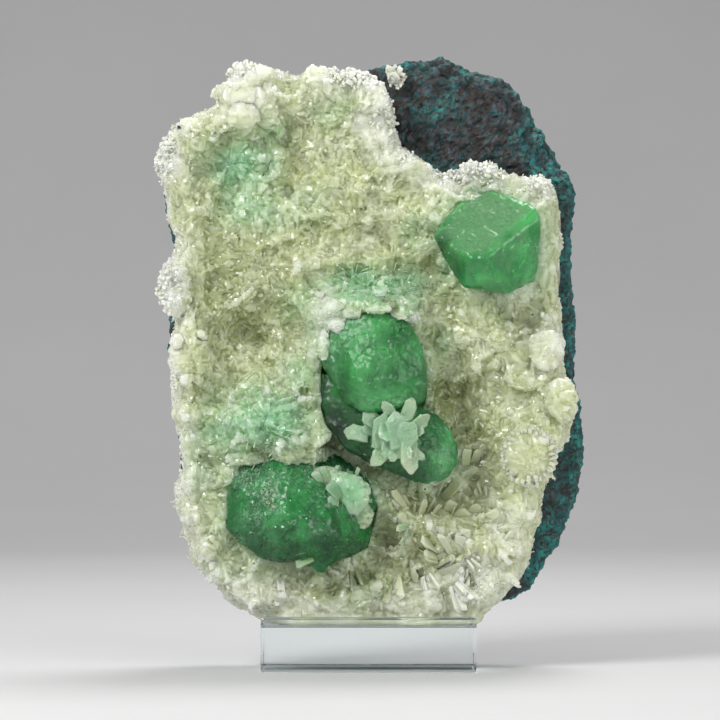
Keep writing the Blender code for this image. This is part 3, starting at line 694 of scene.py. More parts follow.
def tone_notes(piece, points):
    """Stores the tone numbers on a piece. Stilbite close to a green crystal turns mint."""
    shift = np.zeros((len(points), 3))
    shift[:, 0] = noise_at(points, 9.0, 3.0) * 4.0
    shift[:, 2] = noise_at(points, 9.0, 31.0) * 4.0
    gap, _ = crystals_near(points, 14.0)
    white = patch_strength(points + shift, WHITE_PATCHES)
    mint = patch_strength(points + shift, MINT_PATCHES)
    mint = np.maximum(mint, 0.55 * np.exp(-gap / 5.0)) * (1 - 0.6 * white)
    # the olive number is olive tone and painted shade together
    olive_and_shade = patch_strength(points + shift, OLIVE_AND_SHADE_PATCHES) * (1 - 0.8 * white)
    note(piece, "white", np.clip(white + 0.12 * noise_at(points, 5.0, 8.0), 0, 1))
    note(piece, "mint", np.clip(mint, 0, 1))
    note(piece, "olive_and_shade", np.clip(olive_and_shade, 0, 1))
    rust = np.clip((points[:, 1] + 1.6) / 1.2, 0, 1) * np.clip(0.55 + 1.2 * noise_at(points, 2.4, 12.0), 0, 1)
    note(piece, "rust", rust * 0.7)


print("gap to the crystals from", round(float(crystals_near(bed_points[::50])[0].min()), 2), "mm")

# %% [markdown]
# ## Tablets
# A stilbite crystal is a flat tablet with parallel sides and a low roof for an end. The
# shape is modelled once with a handful of faces, one unit long and standing on its foot,
# because thousands of copies follow. Two numbers travel with every copy: how near a
# vertex is to the tip, and where it is on its own tablet, for the lines along its length.

# %% The shapes that repeat


def tablet_rings(width, thickness, foot_share, roof, skew, cut, ridge):
    """The corners of one tablet: a foot, a shoulder and a ridge on top."""
    half, thin = width / 2, thickness / 2
    flat = half * cut
    ring = [(-half, 0), (-flat, -thin), (flat, -thin), (half, 0), (flat, thin), (-flat, thin)]
    foot = [Vector((x * foot_share, y * foot_share, 0)) for x, y in ring]
    shoulder = [Vector((x, y, roof + skew * x)) for x, y in ring]
    top = [Vector((-half * ridge, 0, 1.0 - abs(skew) * half)), Vector((half * ridge, 0, 1.0))]
    return foot, shoulder, top


def add_tablet(shape, corners, place, layers):
    """Adds one closed tablet to a mesh under construction."""
    tip, grain = layers
    rows = []
    for row, share in zip(corners, (0.0, 0.75, 1.0)):
        made = []
        for corner in row:
            vertex = shape.verts.new(place @ corner)
            vertex[tip] = share
            vertex[grain] = corner
            made.append(vertex)
        rows.append(made)
    low, high, (left, right) = rows
    shape.faces.new(list(reversed(low)))
    for index in range(6):
        after = (index + 1) % 6
        shape.faces.new((low[index], low[after], high[after], high[index]))
    shape.faces.new((high[0], high[1], left))
    shape.faces.new((high[1], high[2], right, left))
    shape.faces.new((high[2], high[3], right))
    shape.faces.new((high[3], high[4], right))
    shape.faces.new((high[4], high[5], left, right))
    shape.faces.new((high[5], high[0], left))


def tablet(name, *sizes):
    shape = bmesh.new()
    layers = (shape.verts.layers.float.new("tip"), shape.verts.layers.float_vector.new("grain"))
    add_tablet(shape, tablet_rings(*sizes), Matrix(), layers)
    bmesh.ops.recalc_face_normals(shape, faces=shape.faces)
    mesh = bpy.data.meshes.new(name)
    shape.to_mesh(mesh)
    shape.free()
    return new_piece(name, mesh)


# width, thickness, foot, roof, skew, cut, ridge, all as shares of the length
THIN = [
    (0.32, 0.10, 0.9, 0.92, 0.12, 0.86, 0.6), (0.22, 0.09, 0.9, 0.88, -0.3, 0.82, 0.5),
    (0.42, 0.11, 0.9, 0.93, 0.25, 0.86, 0.7),
]
BLUNT = [
    (0.80, 0.50, 0.9, 0.78, 0.12, 0.75, 0.5), (0.66, 0.42, 0.9, 0.74, -0.3, 0.7, 0.4),
    (1.0, 0.56, 0.9, 0.82, 0.25, 0.8, 0.5),
]
# the next two are as wide and thick as long, because the lists give their sizes
POINTED = [
    (1.0, 1.0, 0.9, 0.70, 0.10, 0.86, 0.12), (1.0, 1.0, 0.85, 0.76, -0.2, 0.82, 0.2),
    (1.0, 1.0, 0.9, 0.66, 0.24, 0.88, 0.1),
]
UNIT = [
    (1.0, 1.0, 0.85, 0.86, 0.06, 0.82, 0.5), (1.0, 1.0, 0.8, 0.9, -0.10, 0.78, 0.55),
    (1.0, 1.0, 0.85, 0.84, 0.14, 0.85, 0.35),
]


def tablets(name, rows):
    return [tablet(f"{name}_{number}", *sizes) for number, sizes in enumerate(rows)]


thin_shapes, grain_shapes = tablets("thin", THIN), tablets("grain", BLUNT)
pointed_shapes, unit_shapes = tablets("pointed", POINTED), tablets("unit", UNIT)
print("a tablet has", triangles_in(thin_shapes[0]), "triangles")

# %% [markdown]
# ## A node tree that grows tablets on a surface
# Tablets don't point just anywhere: each belongs to a sheaf and leans away from the
# sheaf's middle, with its broad side turned the same way as its neighbours'. Hair could be
# scattered on the crust instead, but it can't be turned like that and is lost on export.
# So a node tree grows them. It reads three notes on the ground: "growth", where and how
# large they grow, "outward", the way out of the sheaf, and "side", which a sheaf's tablets
# share. It adds a little chance, and makes the copies real, so one plain mesh comes out.

# %% The growing tree


def collection_of(name, shapes):
    group = bpy.data.collections.new(name)
    for shape in shapes:
        group.objects.link(shape)
    return group


def stored(tree, name):
    """Reads a direction or a size that was noted on the points."""
    return add(tree, "GeometryNodeInputNamedAttribute", {"Name": name}, data_type="FLOAT_VECTOR").outputs[0]


def times(tree, first, second):
    return sums(tree, "MULTIPLY", first, second)


def growing_tree():
    tree = bpy.data.node_groups.new("grow sheaves on a surface", "GeometryNodeTree")
    face = tree.interface
    face.new_socket("Geometry", in_out="INPUT", socket_type="NodeSocketGeometry")
    face.new_socket("Shapes", in_out="INPUT", socket_type="NodeSocketCollection")
    for name in ("Spacing", "Density", "Smallest", "Largest", "Lean out", "Stray", "Sunk"):
        face.new_socket(name, in_out="INPUT", socket_type="NodeSocketFloat")
    face.new_socket("Seed", in_out="INPUT", socket_type="NodeSocketInt")
    face.new_socket("Finish", in_out="INPUT", socket_type="NodeSocketMaterial")
    face.new_socket("Geometry", in_out="OUTPUT", socket_type="NodeSocketGeometry")
    source = tree.nodes.new("NodeGroupInput").outputs
    growth = add(tree, "GeometryNodeInputNamedAttribute", {"Name": "growth"}, data_type="FLOAT").outputs[0]
    scatter = add(tree, "GeometryNodeDistributePointsOnFaces", {
        "Mesh": source["Geometry"], "Distance Min": source["Spacing"], "Density Max": source["Density"],
        "Density Factor": growth, "Seed": source["Seed"],
    }, distribute_method="POISSON")

    def chance(low, high, shift, kind="FLOAT"):
        seed = add(tree, "FunctionNodeIntegerMath", {0: source["Seed"], 1: shift}, operation="ADD")
        node = add(tree, "FunctionNodeRandomValue", data_type=kind)
        for key, value in (("Min", low), ("Max", high), ("Seed", seed.outputs[0])):
            socket = [s for s in node.inputs if s.name == key and s.enabled][0]
            if isinstance(value, bpy.types.NodeSocket):
                tree.links.new(value, socket)
            else:
                socket.default_value = value
        return [s for s in node.outputs if s.enabled][0]

    def vectors(operation, first, second):
        node = add(tree, "ShaderNodeVectorMath", {0: first}, operation=operation)
        slot = 3 if operation == "SCALE" else 1
        if isinstance(second, bpy.types.NodeSocket):
            tree.links.new(second, node.inputs[slot])
        else:
            node.inputs[slot].default_value = second
        return node.outputs["Vector"]

    outward, shared = stored(tree, "outward"), stored(tree, "side")
    stray = vectors("SCALE", chance((-1, -1, -1), (1, 1, 1), 11, "FLOAT_VECTOR"), source["Stray"])
    way = vectors("ADD", scatter.outputs["Normal"], vectors("SCALE", outward, source["Lean out"]))
    way = vectors("ADD", way, stray)
    side = vectors("ADD", shared, vectors("SCALE", stray, 0.5))
    stood = add(tree, "FunctionNodeAlignRotationToVector", {"Vector": way}, axis="Z")
    turned = add(tree, "FunctionNodeAlignRotationToVector", {
        "Rotation": stood.outputs[0], "Vector": side,
    }, axis="X", pivot_axis="Z")
    away = add(tree, "ShaderNodeVectorMath", {0: outward}, operation="LENGTH").outputs["Value"]
    size = times(tree, chance(source["Smallest"], source["Largest"], 14), growth)
    size = times(tree, size, spread(tree, away, 0.0, 0.9, 1.1, 0.7))
    wide = times(tree, size, chance(0.75, 1.3, 15))
    scale = add(tree, "ShaderNodeCombineXYZ", {"X": wide, "Y": size, "Z": size})
    shapes = add(tree, "GeometryNodeCollectionInfo", {
        "Collection": source["Shapes"], "Separate Children": True, "Reset Children": True,
    })
    copies = add(tree, "GeometryNodeInstanceOnPoints", {
        "Points": scatter.outputs["Points"], "Instance": shapes.outputs[0], "Pick Instance": True,
        "Rotation": turned.outputs[0], "Scale": scale.outputs[0],
    })
    down = add(tree, "ShaderNodeCombineXYZ", {"X": 0.0, "Y": 0.0, "Z": times(tree, size, source["Sunk"])})
    lowered = add(tree, "GeometryNodeTranslateInstances", {
        "Instances": copies.outputs[0], "Translation": down.outputs[0],
    })
    shaded = add(tree, "GeometryNodeStoreNamedAttribute", {
        "Geometry": lowered.outputs[0], "Name": "shade", "Value": chance(0.0, 1.0, 16),
    }, domain="INSTANCE", data_type="FLOAT")
    real = add(tree, "GeometryNodeRealizeInstances", {"Geometry": shaded.outputs[0]})
    finished = add(tree, "GeometryNodeSetMaterial", {
        "Geometry": real.outputs[0], "Material": source["Finish"],
    })
    sink = tree.nodes.new("NodeGroupOutput")
    tree.links.new(finished.outputs[0], sink.inputs[0])
    return tree


GROW = growing_tree()


def feed(modifier, values):
    """Sets a node modifier's inputs by the identifiers of their sockets."""
    for item in modifier.node_group.interface.items_tree:
        if item.item_type == "SOCKET" and item.in_out == "INPUT" and item.name in values:
            modifier[item.identifier] = values[item.name]


def grown_piece(name, ground, shapes, finish, **sizes):
    """Grows shapes on a copy of the ground and returns them as one plain mesh."""
    piece = new_piece(name, ground.data.copy())
    modifier = piece.modifiers.new("growth", "NODES")
    modifier.node_group = GROW
    values = {key.replace("_", " ").capitalize(): value for key, value in sizes.items()}
    feed(modifier, {**values, "Shapes": shapes, "Finish": finish})
    settle(piece)
    print(name, triangles_in(piece), "triangles")
    return piece


print("growing tree has", len(GROW.nodes), "nodes")

# %% [markdown]
# ## The finish of stilbite
# Stilbite is pearly and lets light in some way, which blurs one blade into the next.
# A glossy coat gives the pearl but not the blur, so scattering below the surface is used.
# The light spreads over seven millimetres in the thick mass, but over little more than one
# in single tablets, which would turn grey with more. The tone numbers choose the colour.
# What stands out is painted paler, a painted light, and what lies deep is painted olive, a
# painted shade. A few dark motes lie on it.
# Fine lines run along single tablets, read from their own grain numbers so that they turn
# with them, and the few flat blades on the green crystals are clearer.

# %% Stilbite
STRAW = colour(190, 196, 148)
CREAM = colour(210, 214, 188)
CHALK = colour(236, 238, 228)
MINT = colour(124, 186, 142)
# olive, also used as painted shade at the feet of tablets and in the hollows of the mass
OLIVE_AND_SHADE = colour(126, 136, 78)
RUST = colour(150, 112, 76)


def stilbite_finish(name, own_grain, reach, clear=0.0):
    finish, tree, shader = new_finish(name)
    growth = place_growth(tree, 140.0, 900.0)
    tip, shade = read_note(tree, "tip"), read_note(tree, "shade")
    body = blend_colours(tree, spread(tree, growth["Cloud"], 0.0, 1.0, 0.0, 0.8), STRAW, CREAM)
    body = blend_colours(tree, sums(tree, "MULTIPLY", read_note(tree, "mint"), 0.85), body, MINT)
    body = blend_colours(tree, sums(tree, "MULTIPLY", read_note(tree, "olive_and_shade"), 0.8), body, OLIVE_AND_SHADE)
    # painted shade at the foot of a tablet and in the hollows of the mass, painted light at tips and on
    # raised parts
    body = blend_colours(tree, spread(tree, tip, 0.0, 0.5, 0.4, 0.0), body, OLIVE_AND_SHADE)
    body = blend_colours(tree, spread(tree, tip, 0.5, 1.0, 0.0, 0.35), body, CHALK)
    body = blend_colours(tree, read_note(tree, "white"), body, CHALK)
    body = blend_colours(tree, read_note(tree, "rust"), body, RUST)
    motes = cells_on(tree, object_place(tree), 75.0)["Distance"]
    body = blend_colours(tree, spread(tree, motes, 0.035, 0.02, 0.0, 0.8), body, colour(52, 50, 38))
    light = add(tree, "ShaderNodeHueSaturation", {
        "Color": body, "Value": spread(tree, shade, 0.0, 1.0, 0.88, 1.04),
        "Saturation": spread(tree, growth["Grain"], 0.3, 0.7, 0.85, 1.15),
    }).outputs[0]
    tree.links.new(light, shader.inputs["Base Color"])
    tree.links.new(spread(tree, growth["Grain"], 0.3, 0.7, 0.06, 0.32), shader.inputs["Roughness"])
    if own_grain:
        local = read_note(tree, "grain", "Vector")
        lines = place_growth(tree, 3.0, 22.0, (1.0, 1.0, 0.12), local)["Grain"]
    else:
        lines = growth["Height"]
    bump_on(tree, shader, lines, 0.3, 0.0003)
    shader.inputs["IOR"].default_value = 1.5
    shader.inputs["Subsurface Weight"].default_value = 1.0
    shader.inputs["Subsurface Radius"].default_value = (1.0, 1.0, 0.85)
    shader.inputs["Subsurface Scale"].default_value = reach
    shader.inputs["Transmission Weight"].default_value = clear
    return finish


STILBITE_MASS = stilbite_finish("pearly stilbite mass", False, 0.007)
STILBITE_BLADES = stilbite_finish("pearly stilbite blades", True, 0.0012)
STILBITE_GRIT = stilbite_finish("sugary stilbite grains", True, 0.0015)
STILBITE_CLEAR = stilbite_finish("clear stilbite blades", False, 0.002, 0.2)
print("stilbite finishes ready")

# %% [markdown]
# ## Sheaves and large blades that can be told apart
# Some blades are large enough to recognise: the long ones at the lower right, the fans
# along the bottom and the left rim, the rosette on the right rim, and a few flat ones on
# the green crystals. They could be modelled one by one. A list is shorter: each group has
# its place, its direction, how far it leans to the front, its length, how wide it spreads
# and how many tablets it has. The depth isn't listed, because the line of sight finds the
# bed or the crystal there, and the foot is set in it.

# %% The listed sheaves
# column, row, turn, lean, length, spread, tablets, width, tone: 0 as the bed, 1 white, 2 mint
SHEAVES = [
    (186, 350, 150, 26, 12, 36, 7, 3.0, 0), (186, 372, 220, 26, 11, 36, 7, 3.0, 0),
    (470, 462, 75, 30, 12, 24, 4, 3.0, 0), (444, 486, 60, 28, 13, 24, 5, 3.2, 0),
    (458, 516, 48, 24, 15, 24, 6, 3.4, 0), (482, 530, 20, 24, 13, 24, 5, 3.2, 0),
    (456, 540, 100, 26, 13, 24, 5, 3.2, 0), (434, 550, 150, 28, 12, 24, 5, 3.0, 0),
    (474, 562, 320, 26, 11, 30, 5, 3.2, 1), (494, 516, 340, 26, 11, 24, 5, 3.0, 0),
    (408, 530, 200, 30, 11, 24, 4, 3.0, 2), (466, 580, 60, 26, 10, 20, 4, 3.0, 1),
    (420, 574, 80, 26, 11, 20, 5, 3.0, 0), (444, 566, 30, 26, 11, 20, 4, 3.0, 0),
    (500, 546, 60, 26, 11, 20, 4, 3.0, 0), (400, 506, 130, 28, 10, 20, 4, 2.8, 0),
    (424, 514, 70, 28, 11, 20, 4, 3.0, 0), (480, 494, 110, 26, 10, 20, 4, 3.0, 0),
    (356, 586, 285, 26, 10, 30, 6, 2.8, 0), (392, 592, 265, 24, 10, 30, 6, 2.8, 0),
    (430, 590, 290, 24, 10, 30, 6, 2.8, 1), (462, 596, 300, 24, 10, 30, 5, 2.8, 1),
    (276, 590, 265, 26, 9, 30, 6, 2.8, 1), (216, 556, 225, 26, 10, 30, 6, 2.8, 1),
    (286, 436, 340, 20, 10, 40, 6, 2.4, 2), (384, 556, 110, 30, 11, 24, 5, 3.0, 0),
    (332, 556, 40, 26, 9, 20, 4, 2.8, 2),
]
# the same, on the green crystals themselves
OVERGROWTH = [
    (302, 556, 195, 10, 8, 16, 2, 3.2, 2), (476, 192, 100, 26, 5, 30, 3, 2.4, 2),
    (340, 484, 20, 6, 8, 60, 4, 4.4, 2), (352, 502, 340, 6, 8, 60, 4, 4.4, 2),
    (330, 500, 160, 6, 7, 60, 3, 4.0, 2), (318, 478, 130, 8, 7, 40, 3, 3.4, 2),
    (362, 518, 300, 8, 7, 40, 3, 3.4, 2), (445, 262, 10, 10, 8, 26, 3, 3.0, 2),
]
ROSETTES = [(529, 456, 9.0, 54, 8), (529, 456, 8.8, 50, 16)]  # column, row, radius, tablets, lean


def way_of(turn, lean):
    """The direction of growth: a turn in the picture's plane and a lean to the front."""
    turn, lean = math.radians(turn), math.radians(lean)
    flat = Vector((math.cos(turn), 0, math.sin(turn)))
    return flat * math.cos(lean) + Vector((0, -1, 0)) * math.sin(lean)


def new_list():
    return {"co": [], "turn": [], "size": [], "shade": [], "tone": []}


def plant(listed, foot, along, face, length, width, thickness, tone, draw):
    """Notes one tablet: where its foot is, which way it points and how large it is."""
    along = along.normalized()
    face = (face - along * face.dot(along)).normalized()
    turn = Matrix((face.cross(along), face, along)).transposed()
    listed["co"].append(foot)
    listed["turn"].append(turn.to_euler())
    listed["size"].append((width, thickness, length))
    listed["shade"].append(draw.random())
    listed["tone"].append(tone)


def plant_sheaf(listed, column, row, turn, lean, length, span, count, width, tone, tree, draw):
    hit = tree.ray_cast(CAMERA * MM, sight(column, row))[0]
    if hit is None:
        return
    middle = way_of(turn, lean)
    sideways = way_of(turn + 90, 0)
    outward = middle.cross(sideways).normalized()
    if outward.y > 0:
        outward = -outward
    roll = draw.uniform(-1.2, 1.2)
    face = outward * math.cos(roll) + sideways * math.sin(roll)
    foot = hit / MM - middle * length * 0.45
    for index in range(count):
        share = index / max(count - 1, 1) - 0.5
        angle = math.radians(share * span) + draw.uniform(-0.08, 0.08)
        along = middle * math.cos(angle) + sideways * math.sin(angle) + outward * draw.uniform(-0.35, 0.25)
        size = length * draw.uniform(0.55, 1.02)
        shift = outward * draw.uniform(-1.2, 0.8) + sideways * (share * width * 0.9)
        plant(listed, foot + shift, along, face + sideways * draw.uniform(-0.2, 0.2), size,
              width * draw.uniform(0.6, 1.2), width * draw.uniform(0.24, 0.4), tone, draw)


sight_tree = tree_of(bed, upper_right, centre, lower_left)
bed_tree = tree_of(bed)
draw = random.Random(12)
sheaves = new_list()
for sheaf in SHEAVES:
    plant_sheaf(sheaves, *sheaf, bed_tree, draw)
overgrowth = new_list()
for column, row, turn, lean, length, *rest in OVERGROWTH:
    plant_sheaf(overgrowth, column, row, turn, lean * 0.7, length * 0.85, *rest, sight_tree, draw)
for column, row, radius, count, lean in ROSETTES:
    foot = bed_tree.ray_cast(CAMERA * MM, sight(column, row))[0] / MM + Vector((0, -0.5, 0))
    for index in range(count):
        along = way_of(index * 360 / count + draw.uniform(-6, 6), lean + draw.uniform(-5, 5))
        plant(sheaves, foot, along, Vector((0, -1, 0)) + along * 0.2, radius * draw.uniform(0.9, 1.04),
              radius * 0.16, 0.8, 0, draw)
print(len(sheaves["co"]) + len(overgrowth["co"]), "listed tablets")

# %% [markdown]
# A second small node tree stands one tablet on every listed point. The turn and the size
# are stored on the points, so the tree only has to read them. A tone in the list wins over
# the tone of the place, so a white blade can stand among yellow ones.

# %% The planting tree


def planting_tree():
    tree = bpy.data.node_groups.new("stand on listed points", "GeometryNodeTree")
    face = tree.interface
    face.new_socket("Geometry", in_out="INPUT", socket_type="NodeSocketGeometry")
    face.new_socket("Shapes", in_out="INPUT", socket_type="NodeSocketCollection")
    face.new_socket("Thickness", in_out="INPUT", socket_type="NodeSocketFloat")
    face.new_socket("Finish", in_out="INPUT", socket_type="NodeSocketMaterial")
    face.new_socket("Geometry", in_out="OUTPUT", socket_type="NodeSocketGeometry")
    source = tree.nodes.new("NodeGroupInput").outputs
    points = add(tree, "GeometryNodeMeshToPoints", {"Mesh": source["Geometry"]})
    shapes = add(tree, "GeometryNodeCollectionInfo", {
        "Collection": source["Shapes"], "Separate Children": True, "Reset Children": True,
    })
    turn = add(tree, "FunctionNodeEulerToRotation", {0: stored(tree, "turn")})
    thinner = add(tree, "ShaderNodeCombineXYZ", {"X": 1.0, "Y": source["Thickness"], "Z": 1.0})
    scale = add(tree, "ShaderNodeVectorMath", {
        0: stored(tree, "size"), 1: thinner.outputs[0],
    }, operation="MULTIPLY")
    copies = add(tree, "GeometryNodeInstanceOnPoints", {
        "Points": points.outputs[0], "Instance": shapes.outputs[0], "Pick Instance": True,
        "Rotation": turn.outputs[0], "Scale": scale.outputs[0],
    })
    real = add(tree, "GeometryNodeRealizeInstances", {"Geometry": copies.outputs[0]})
    finished = add(tree, "GeometryNodeSetMaterial", {
        "Geometry": real.outputs[0], "Material": source["Finish"],
    })
    sink = tree.nodes.new("NodeGroupOutput")
    tree.links.new(finished.outputs[0], sink.inputs[0])
    return tree


PLANT = planting_tree()
unit_tablets = collection_of("unit tablets", unit_shapes)
pointed_tablets = collection_of("pointed tablets", pointed_shapes)


def planted_piece(name, listed, finish, thickness=1.0, shapes=unit_tablets):
    """Turns the listed tablets into one plain mesh."""
    mesh = bpy.data.meshes.new(name)
    mesh.from_pydata([tuple(Vector(p) * MM) for p in listed["co"]], [], [])
    piece = new_piece(name, mesh)
    for key, scale in (("turn", 1.0), ("size", MM)):
        layer = mesh.attributes.new(key, "FLOAT_VECTOR", "POINT")
        values = np.array([tuple(v) for v in listed[key]]) * scale
        layer.data.foreach_set("vector", values.astype(np.float32).ravel())
    tone_notes(piece, np.array([tuple(p) for p in listed["co"]]))
    tone = np.array(listed["tone"])
    for key, number in (("white", 1), ("mint", 2)):
        values = np.empty(len(tone), dtype=np.float32)
        mesh.attributes[key].data.foreach_get("value", values)
        note(piece, key, np.where(tone == number, np.maximum(values, 0.7), values))
    note(piece, "shade", listed["shade"])
    modifier = piece.modifiers.new("planting", "NODES")
    modifier.node_group = PLANT
    feed(modifier, {"Shapes": shapes, "Finish": finish, "Thickness": thickness})
    settle(piece)
    print(name, triangles_in(piece), "triangles")
    return piece


crust_sheaves = planted_piece("stilbite_sheaves", sheaves, STILBITE_BLADES, 0.8)
crust_overgrowth = planted_piece("stilbite_overgrowth", overgrowth, STILBITE_CLEAR, 0.8)

# %% [markdown]
# ## The mass that grew together
# In a real druse the tablets are packed so tightly that most of them are one glassy mass,
# and only roofs and edges can be told apart. Tablets radiate from the middle of a sheaf,
# and each ends at its own height. The same can be worked out for a surface: find the middle
# of the sheaf that a point belongs to, sort the directions from there into narrow bundles,
# and give every bundle its own height and slope. Sculpting would be the other way, but a
# rule covers the sides and the back edge as well as the front. Large domes that can be told
# apart are listed, and a random pattern of sheaves fills the rest.

# %% Sheaf middles
# column, row, half width, half height, rise in millimetres
LUMPS = [
    (246, 112, 34, 30, 2.6), (262, 76, 16, 14, 1.6), (312, 82, 22, 22, 1.4), (188, 132, 22, 26, 2.2),
    (176, 180, 15, 28, 1.6), (234, 160, 20, 20, 1.8), (272, 160, 20, 18, 1.8), (254, 200, 22, 20, 1.4),
    (350, 112, 26, 24, 1.2), (386, 120, 16, 36, 1.2), (176, 290, 18, 34, 2.2), (190, 352, 26, 36, 2.6),
    (236, 300, 24, 26, 1.4), (300, 268, 26, 22, 1.4), (186, 420, 16, 26, 1.4), (196, 500, 22, 34, 2.0),
    (216, 560, 26, 26, 2.0), (262, 590, 30, 20, 1.8), (318, 594, 30, 18, 1.6), (380, 592, 34, 20, 1.8),
    (440, 588, 34, 24, 2.2), (452, 522, 30, 34, 2.2), (492, 536, 22, 30, 2.0), (410, 540, 26, 30, 1.8),
    (528, 456, 30, 32, 2.2), (563, 400, 20, 26, 2.4), (552, 350, 22, 26, 2.0), (506, 346, 30, 28, 2.0),
    (520, 300, 24, 20, 1.6), (474, 330, 22, 26, 1.2), (262, 418, 40, 30, 2.4), (228, 436, 26, 26, 1.6),
    (288, 440, 22, 26, 1.8), (368, 286, 30, 16, 2.0), (332, 302, 22, 18, 1.8), (402, 294, 22, 18, 1.8),
    (316, 348, 14, 26, 1.4), (468, 176, 26, 14, 1.6), (520, 178, 28, 14, 1.6), (548, 250, 16, 40, 1.2),
    (350, 500, 24, 26, 1.4), (384, 490, 22, 22, 1.4), (524, 516, 22, 24, 1.6),
]
SHEAF_SIZE = 8.5
BUNDLES = 6.0


def sheaf_middles(points, ground):
    """For each point: the middle of its sheaf and how high its dome lifts it."""
    middles = np.empty((len(points), 3))
    dome = np.empty(len(points))
    for index, point in enumerate(points):
        distances, found = noise.voronoi(Vector(point) / SHEAF_SIZE)
        middles[index] = found[0] * SHEAF_SIZE
        dome[index] = 1.6 * (0.5 - distances[0]) * min(1.0, (distances[1] - distances[0]) * 5 + 0.35)
    nearest = np.full(len(points), 1.0)
    for column, row, half_width, half_height, rise in LUMPS:
        hit = ground.ray_cast(CAMERA * MM, sight(column, row))[0] / MM
        out = ((points[:, 0] - hit.x) / (half_width * STEP)) ** 2
        out += ((points[:, 2] - hit.z) / (half_height * STEP)) ** 2
        out += np.clip((points[:, 1] - hit.y) / 14.0, 0, 9) ** 2
        inside = out < nearest
        nearest[inside] = out[inside]
        middles[inside] = (hit.x, hit.y + 2.5, hit.z)
        dome[inside] = rise * 0.65 * np.sqrt(1 - out[inside]) - 0.2
    return middles, dome


def bundle_relief(points, middles, step, tilt):
    """Steps and slopes of the tablets that radiate from each middle, and one shade for each."""
    rise, shade = np.empty(len(points)), np.empty(len(points))
    for index, (point, middle) in enumerate(zip(points, middles)):
        away = Vector(point - middle)
        far = away.length
        axis = noise.cell_vector(Vector(middle) * 1.3) - Vector((0.5, 1.1, 0.5))
        axis.normalize()
        away -= axis * away.dot(axis) * 0.72
        away.normalize()
        shift = noise.cell_vector(Vector(middle)) * 5.0
        place = away * BUNDLES + shift
        cell = noise.voronoi(place)[1][0]
        pick = noise.cell_vector(cell * 6.1)
        across = (place - cell).dot(noise.cell_vector(cell * 3.3) - Vector((0.5, 0.5, 0.5)))
        rise[index] = step * (pick.x - 0.5) * min(far / 3.0, 1.0) + tilt * across
        rise[index] += 0.10 * (pick.y - 0.5) * far
        shade[index] = pick.z
    return rise, shade


def sheaf_notes(piece, points, middles):
    """Stores the way out of the sheaf and the side that its tablets share."""
    outward = (points - middles) / SHEAF_SIZE
    sides = np.array([(noise.cell_vector(Vector(m) * 0.7) - Vector((0.5, 0.5, 0.5)))[:] for m in middles])
    for name, values in (("outward", outward), ("side", sides)):
        layer = piece.data.attributes.new(name, "FLOAT_VECTOR", "POINT")
        layer.data.foreach_set("vector", values.astype(np.float32).ravel())


print(len(LUMPS), "listed domes")

# %% [markdown]
# The relief needs a finer mesh than the bed's, so the bed is remeshed again, now with soft
# cushions in it. A row of them makes the curved sheaf at the top left, others lap over the
# edges of the green crystals, and remeshing fuses them all with the bed. Bundles, flat
# patches and domes then move the points, and less so in a few calm patches. Edges are
# collapsed on the flat parts only, to keep the mesh light, and faces meet sharply where
# they turn a lot.

# %% The fused mass
FUSED_CELL = 0.60
FUSED_MOST = 196000
FUSED_ANGLE = 28
BUNDLE_STEP = 0.55
BUNDLE_TILT = 0.55
thin_tablets = collection_of("thin tablets", thin_shapes)
blunt_grains = collection_of("blunt grains", grain_shapes)
# column, row, half width, half height, strength
CALM_PATCHES = [
    (529, 456, 31, 33, 0.4), (545, 350, 18, 22, 0.1), (562, 400, 14, 20, 0.2), (252, 102, 36, 24, 0.3),
    (318, 82, 18, 16, 0.4), (262, 76, 12, 10, 0.5), (344, 494, 30, 26, 0.5), (536, 240, 16, 60, 0.4),
]
# column, row, half width, half height, and half depth in millimetres
CUSHIONS = [
    (344, 494, 26, 22, 2.4), (326, 474, 16, 9, 2.0), (362, 516, 12, 14, 2.0), (336, 324, 9, 8, 2.2),
    (352, 313, 10, 6, 2.2), (378, 309, 14, 5, 2.2), (402, 314, 11, 6, 2.2), (325, 345, 6, 16, 2.2),
    (413, 317, 7, 7, 2.4), (446, 263, 9, 7, 1.8), (222, 95, 10, 10, 2.4), (229, 93, 11, 11, 2.7),
    (236, 93, 12, 11, 2.9), (243, 95, 12, 12, 3.1), (250, 98, 12, 12, 3.2), (257, 102, 12, 12, 3.2),
    (263, 107, 12, 12, 3.0), (269, 113, 11, 13, 2.8), (274, 120, 10, 13, 2.6), (278, 127, 8, 12, 2.2),
    (243, 116, 12, 10, 2.0), (529, 456, 28, 30, 3.0), (562, 400, 13, 20, 2.0), (502, 336, 18, 14, 1.6),
    (545, 350, 16, 20, 1.2), (520, 376, 16, 14, 1.4), (190, 140, 14, 20, 2.4), (176, 290, 12, 26, 2.4),
    (190, 356, 18, 22, 2.4), (318, 82, 16, 16, 2.4), (262, 76, 12, 10, 2.4), (372, 96, 16, 16, 2.0),
    (256, 458, 30, 8, 2.0), (230, 474, 10, 12, 1.8), (470, 198, 16, 5, 1.4),
]


def cushion(column, row, half_width, half_height, half_depth):
    """A soft cushion of stilbite that lies on whatever the line of sight meets first."""
    hit = sight_tree.ray_cast(CAMERA * MM, sight(column, row))[0]
    shape = bmesh.new()
    bmesh.ops.create_icosphere(shape, subdivisions=3, radius=1.0)
    size = Vector((half_width * STEP, half_depth, half_height * STEP)) * MM
    shape.transform(Matrix.Translation(hit) @ Matrix.Diagonal((*size, 1.0)))
    mesh = bpy.data.meshes.new("cushion")
    shape.to_mesh(mesh)
    shape.free()
    return new_piece("cushion", mesh)


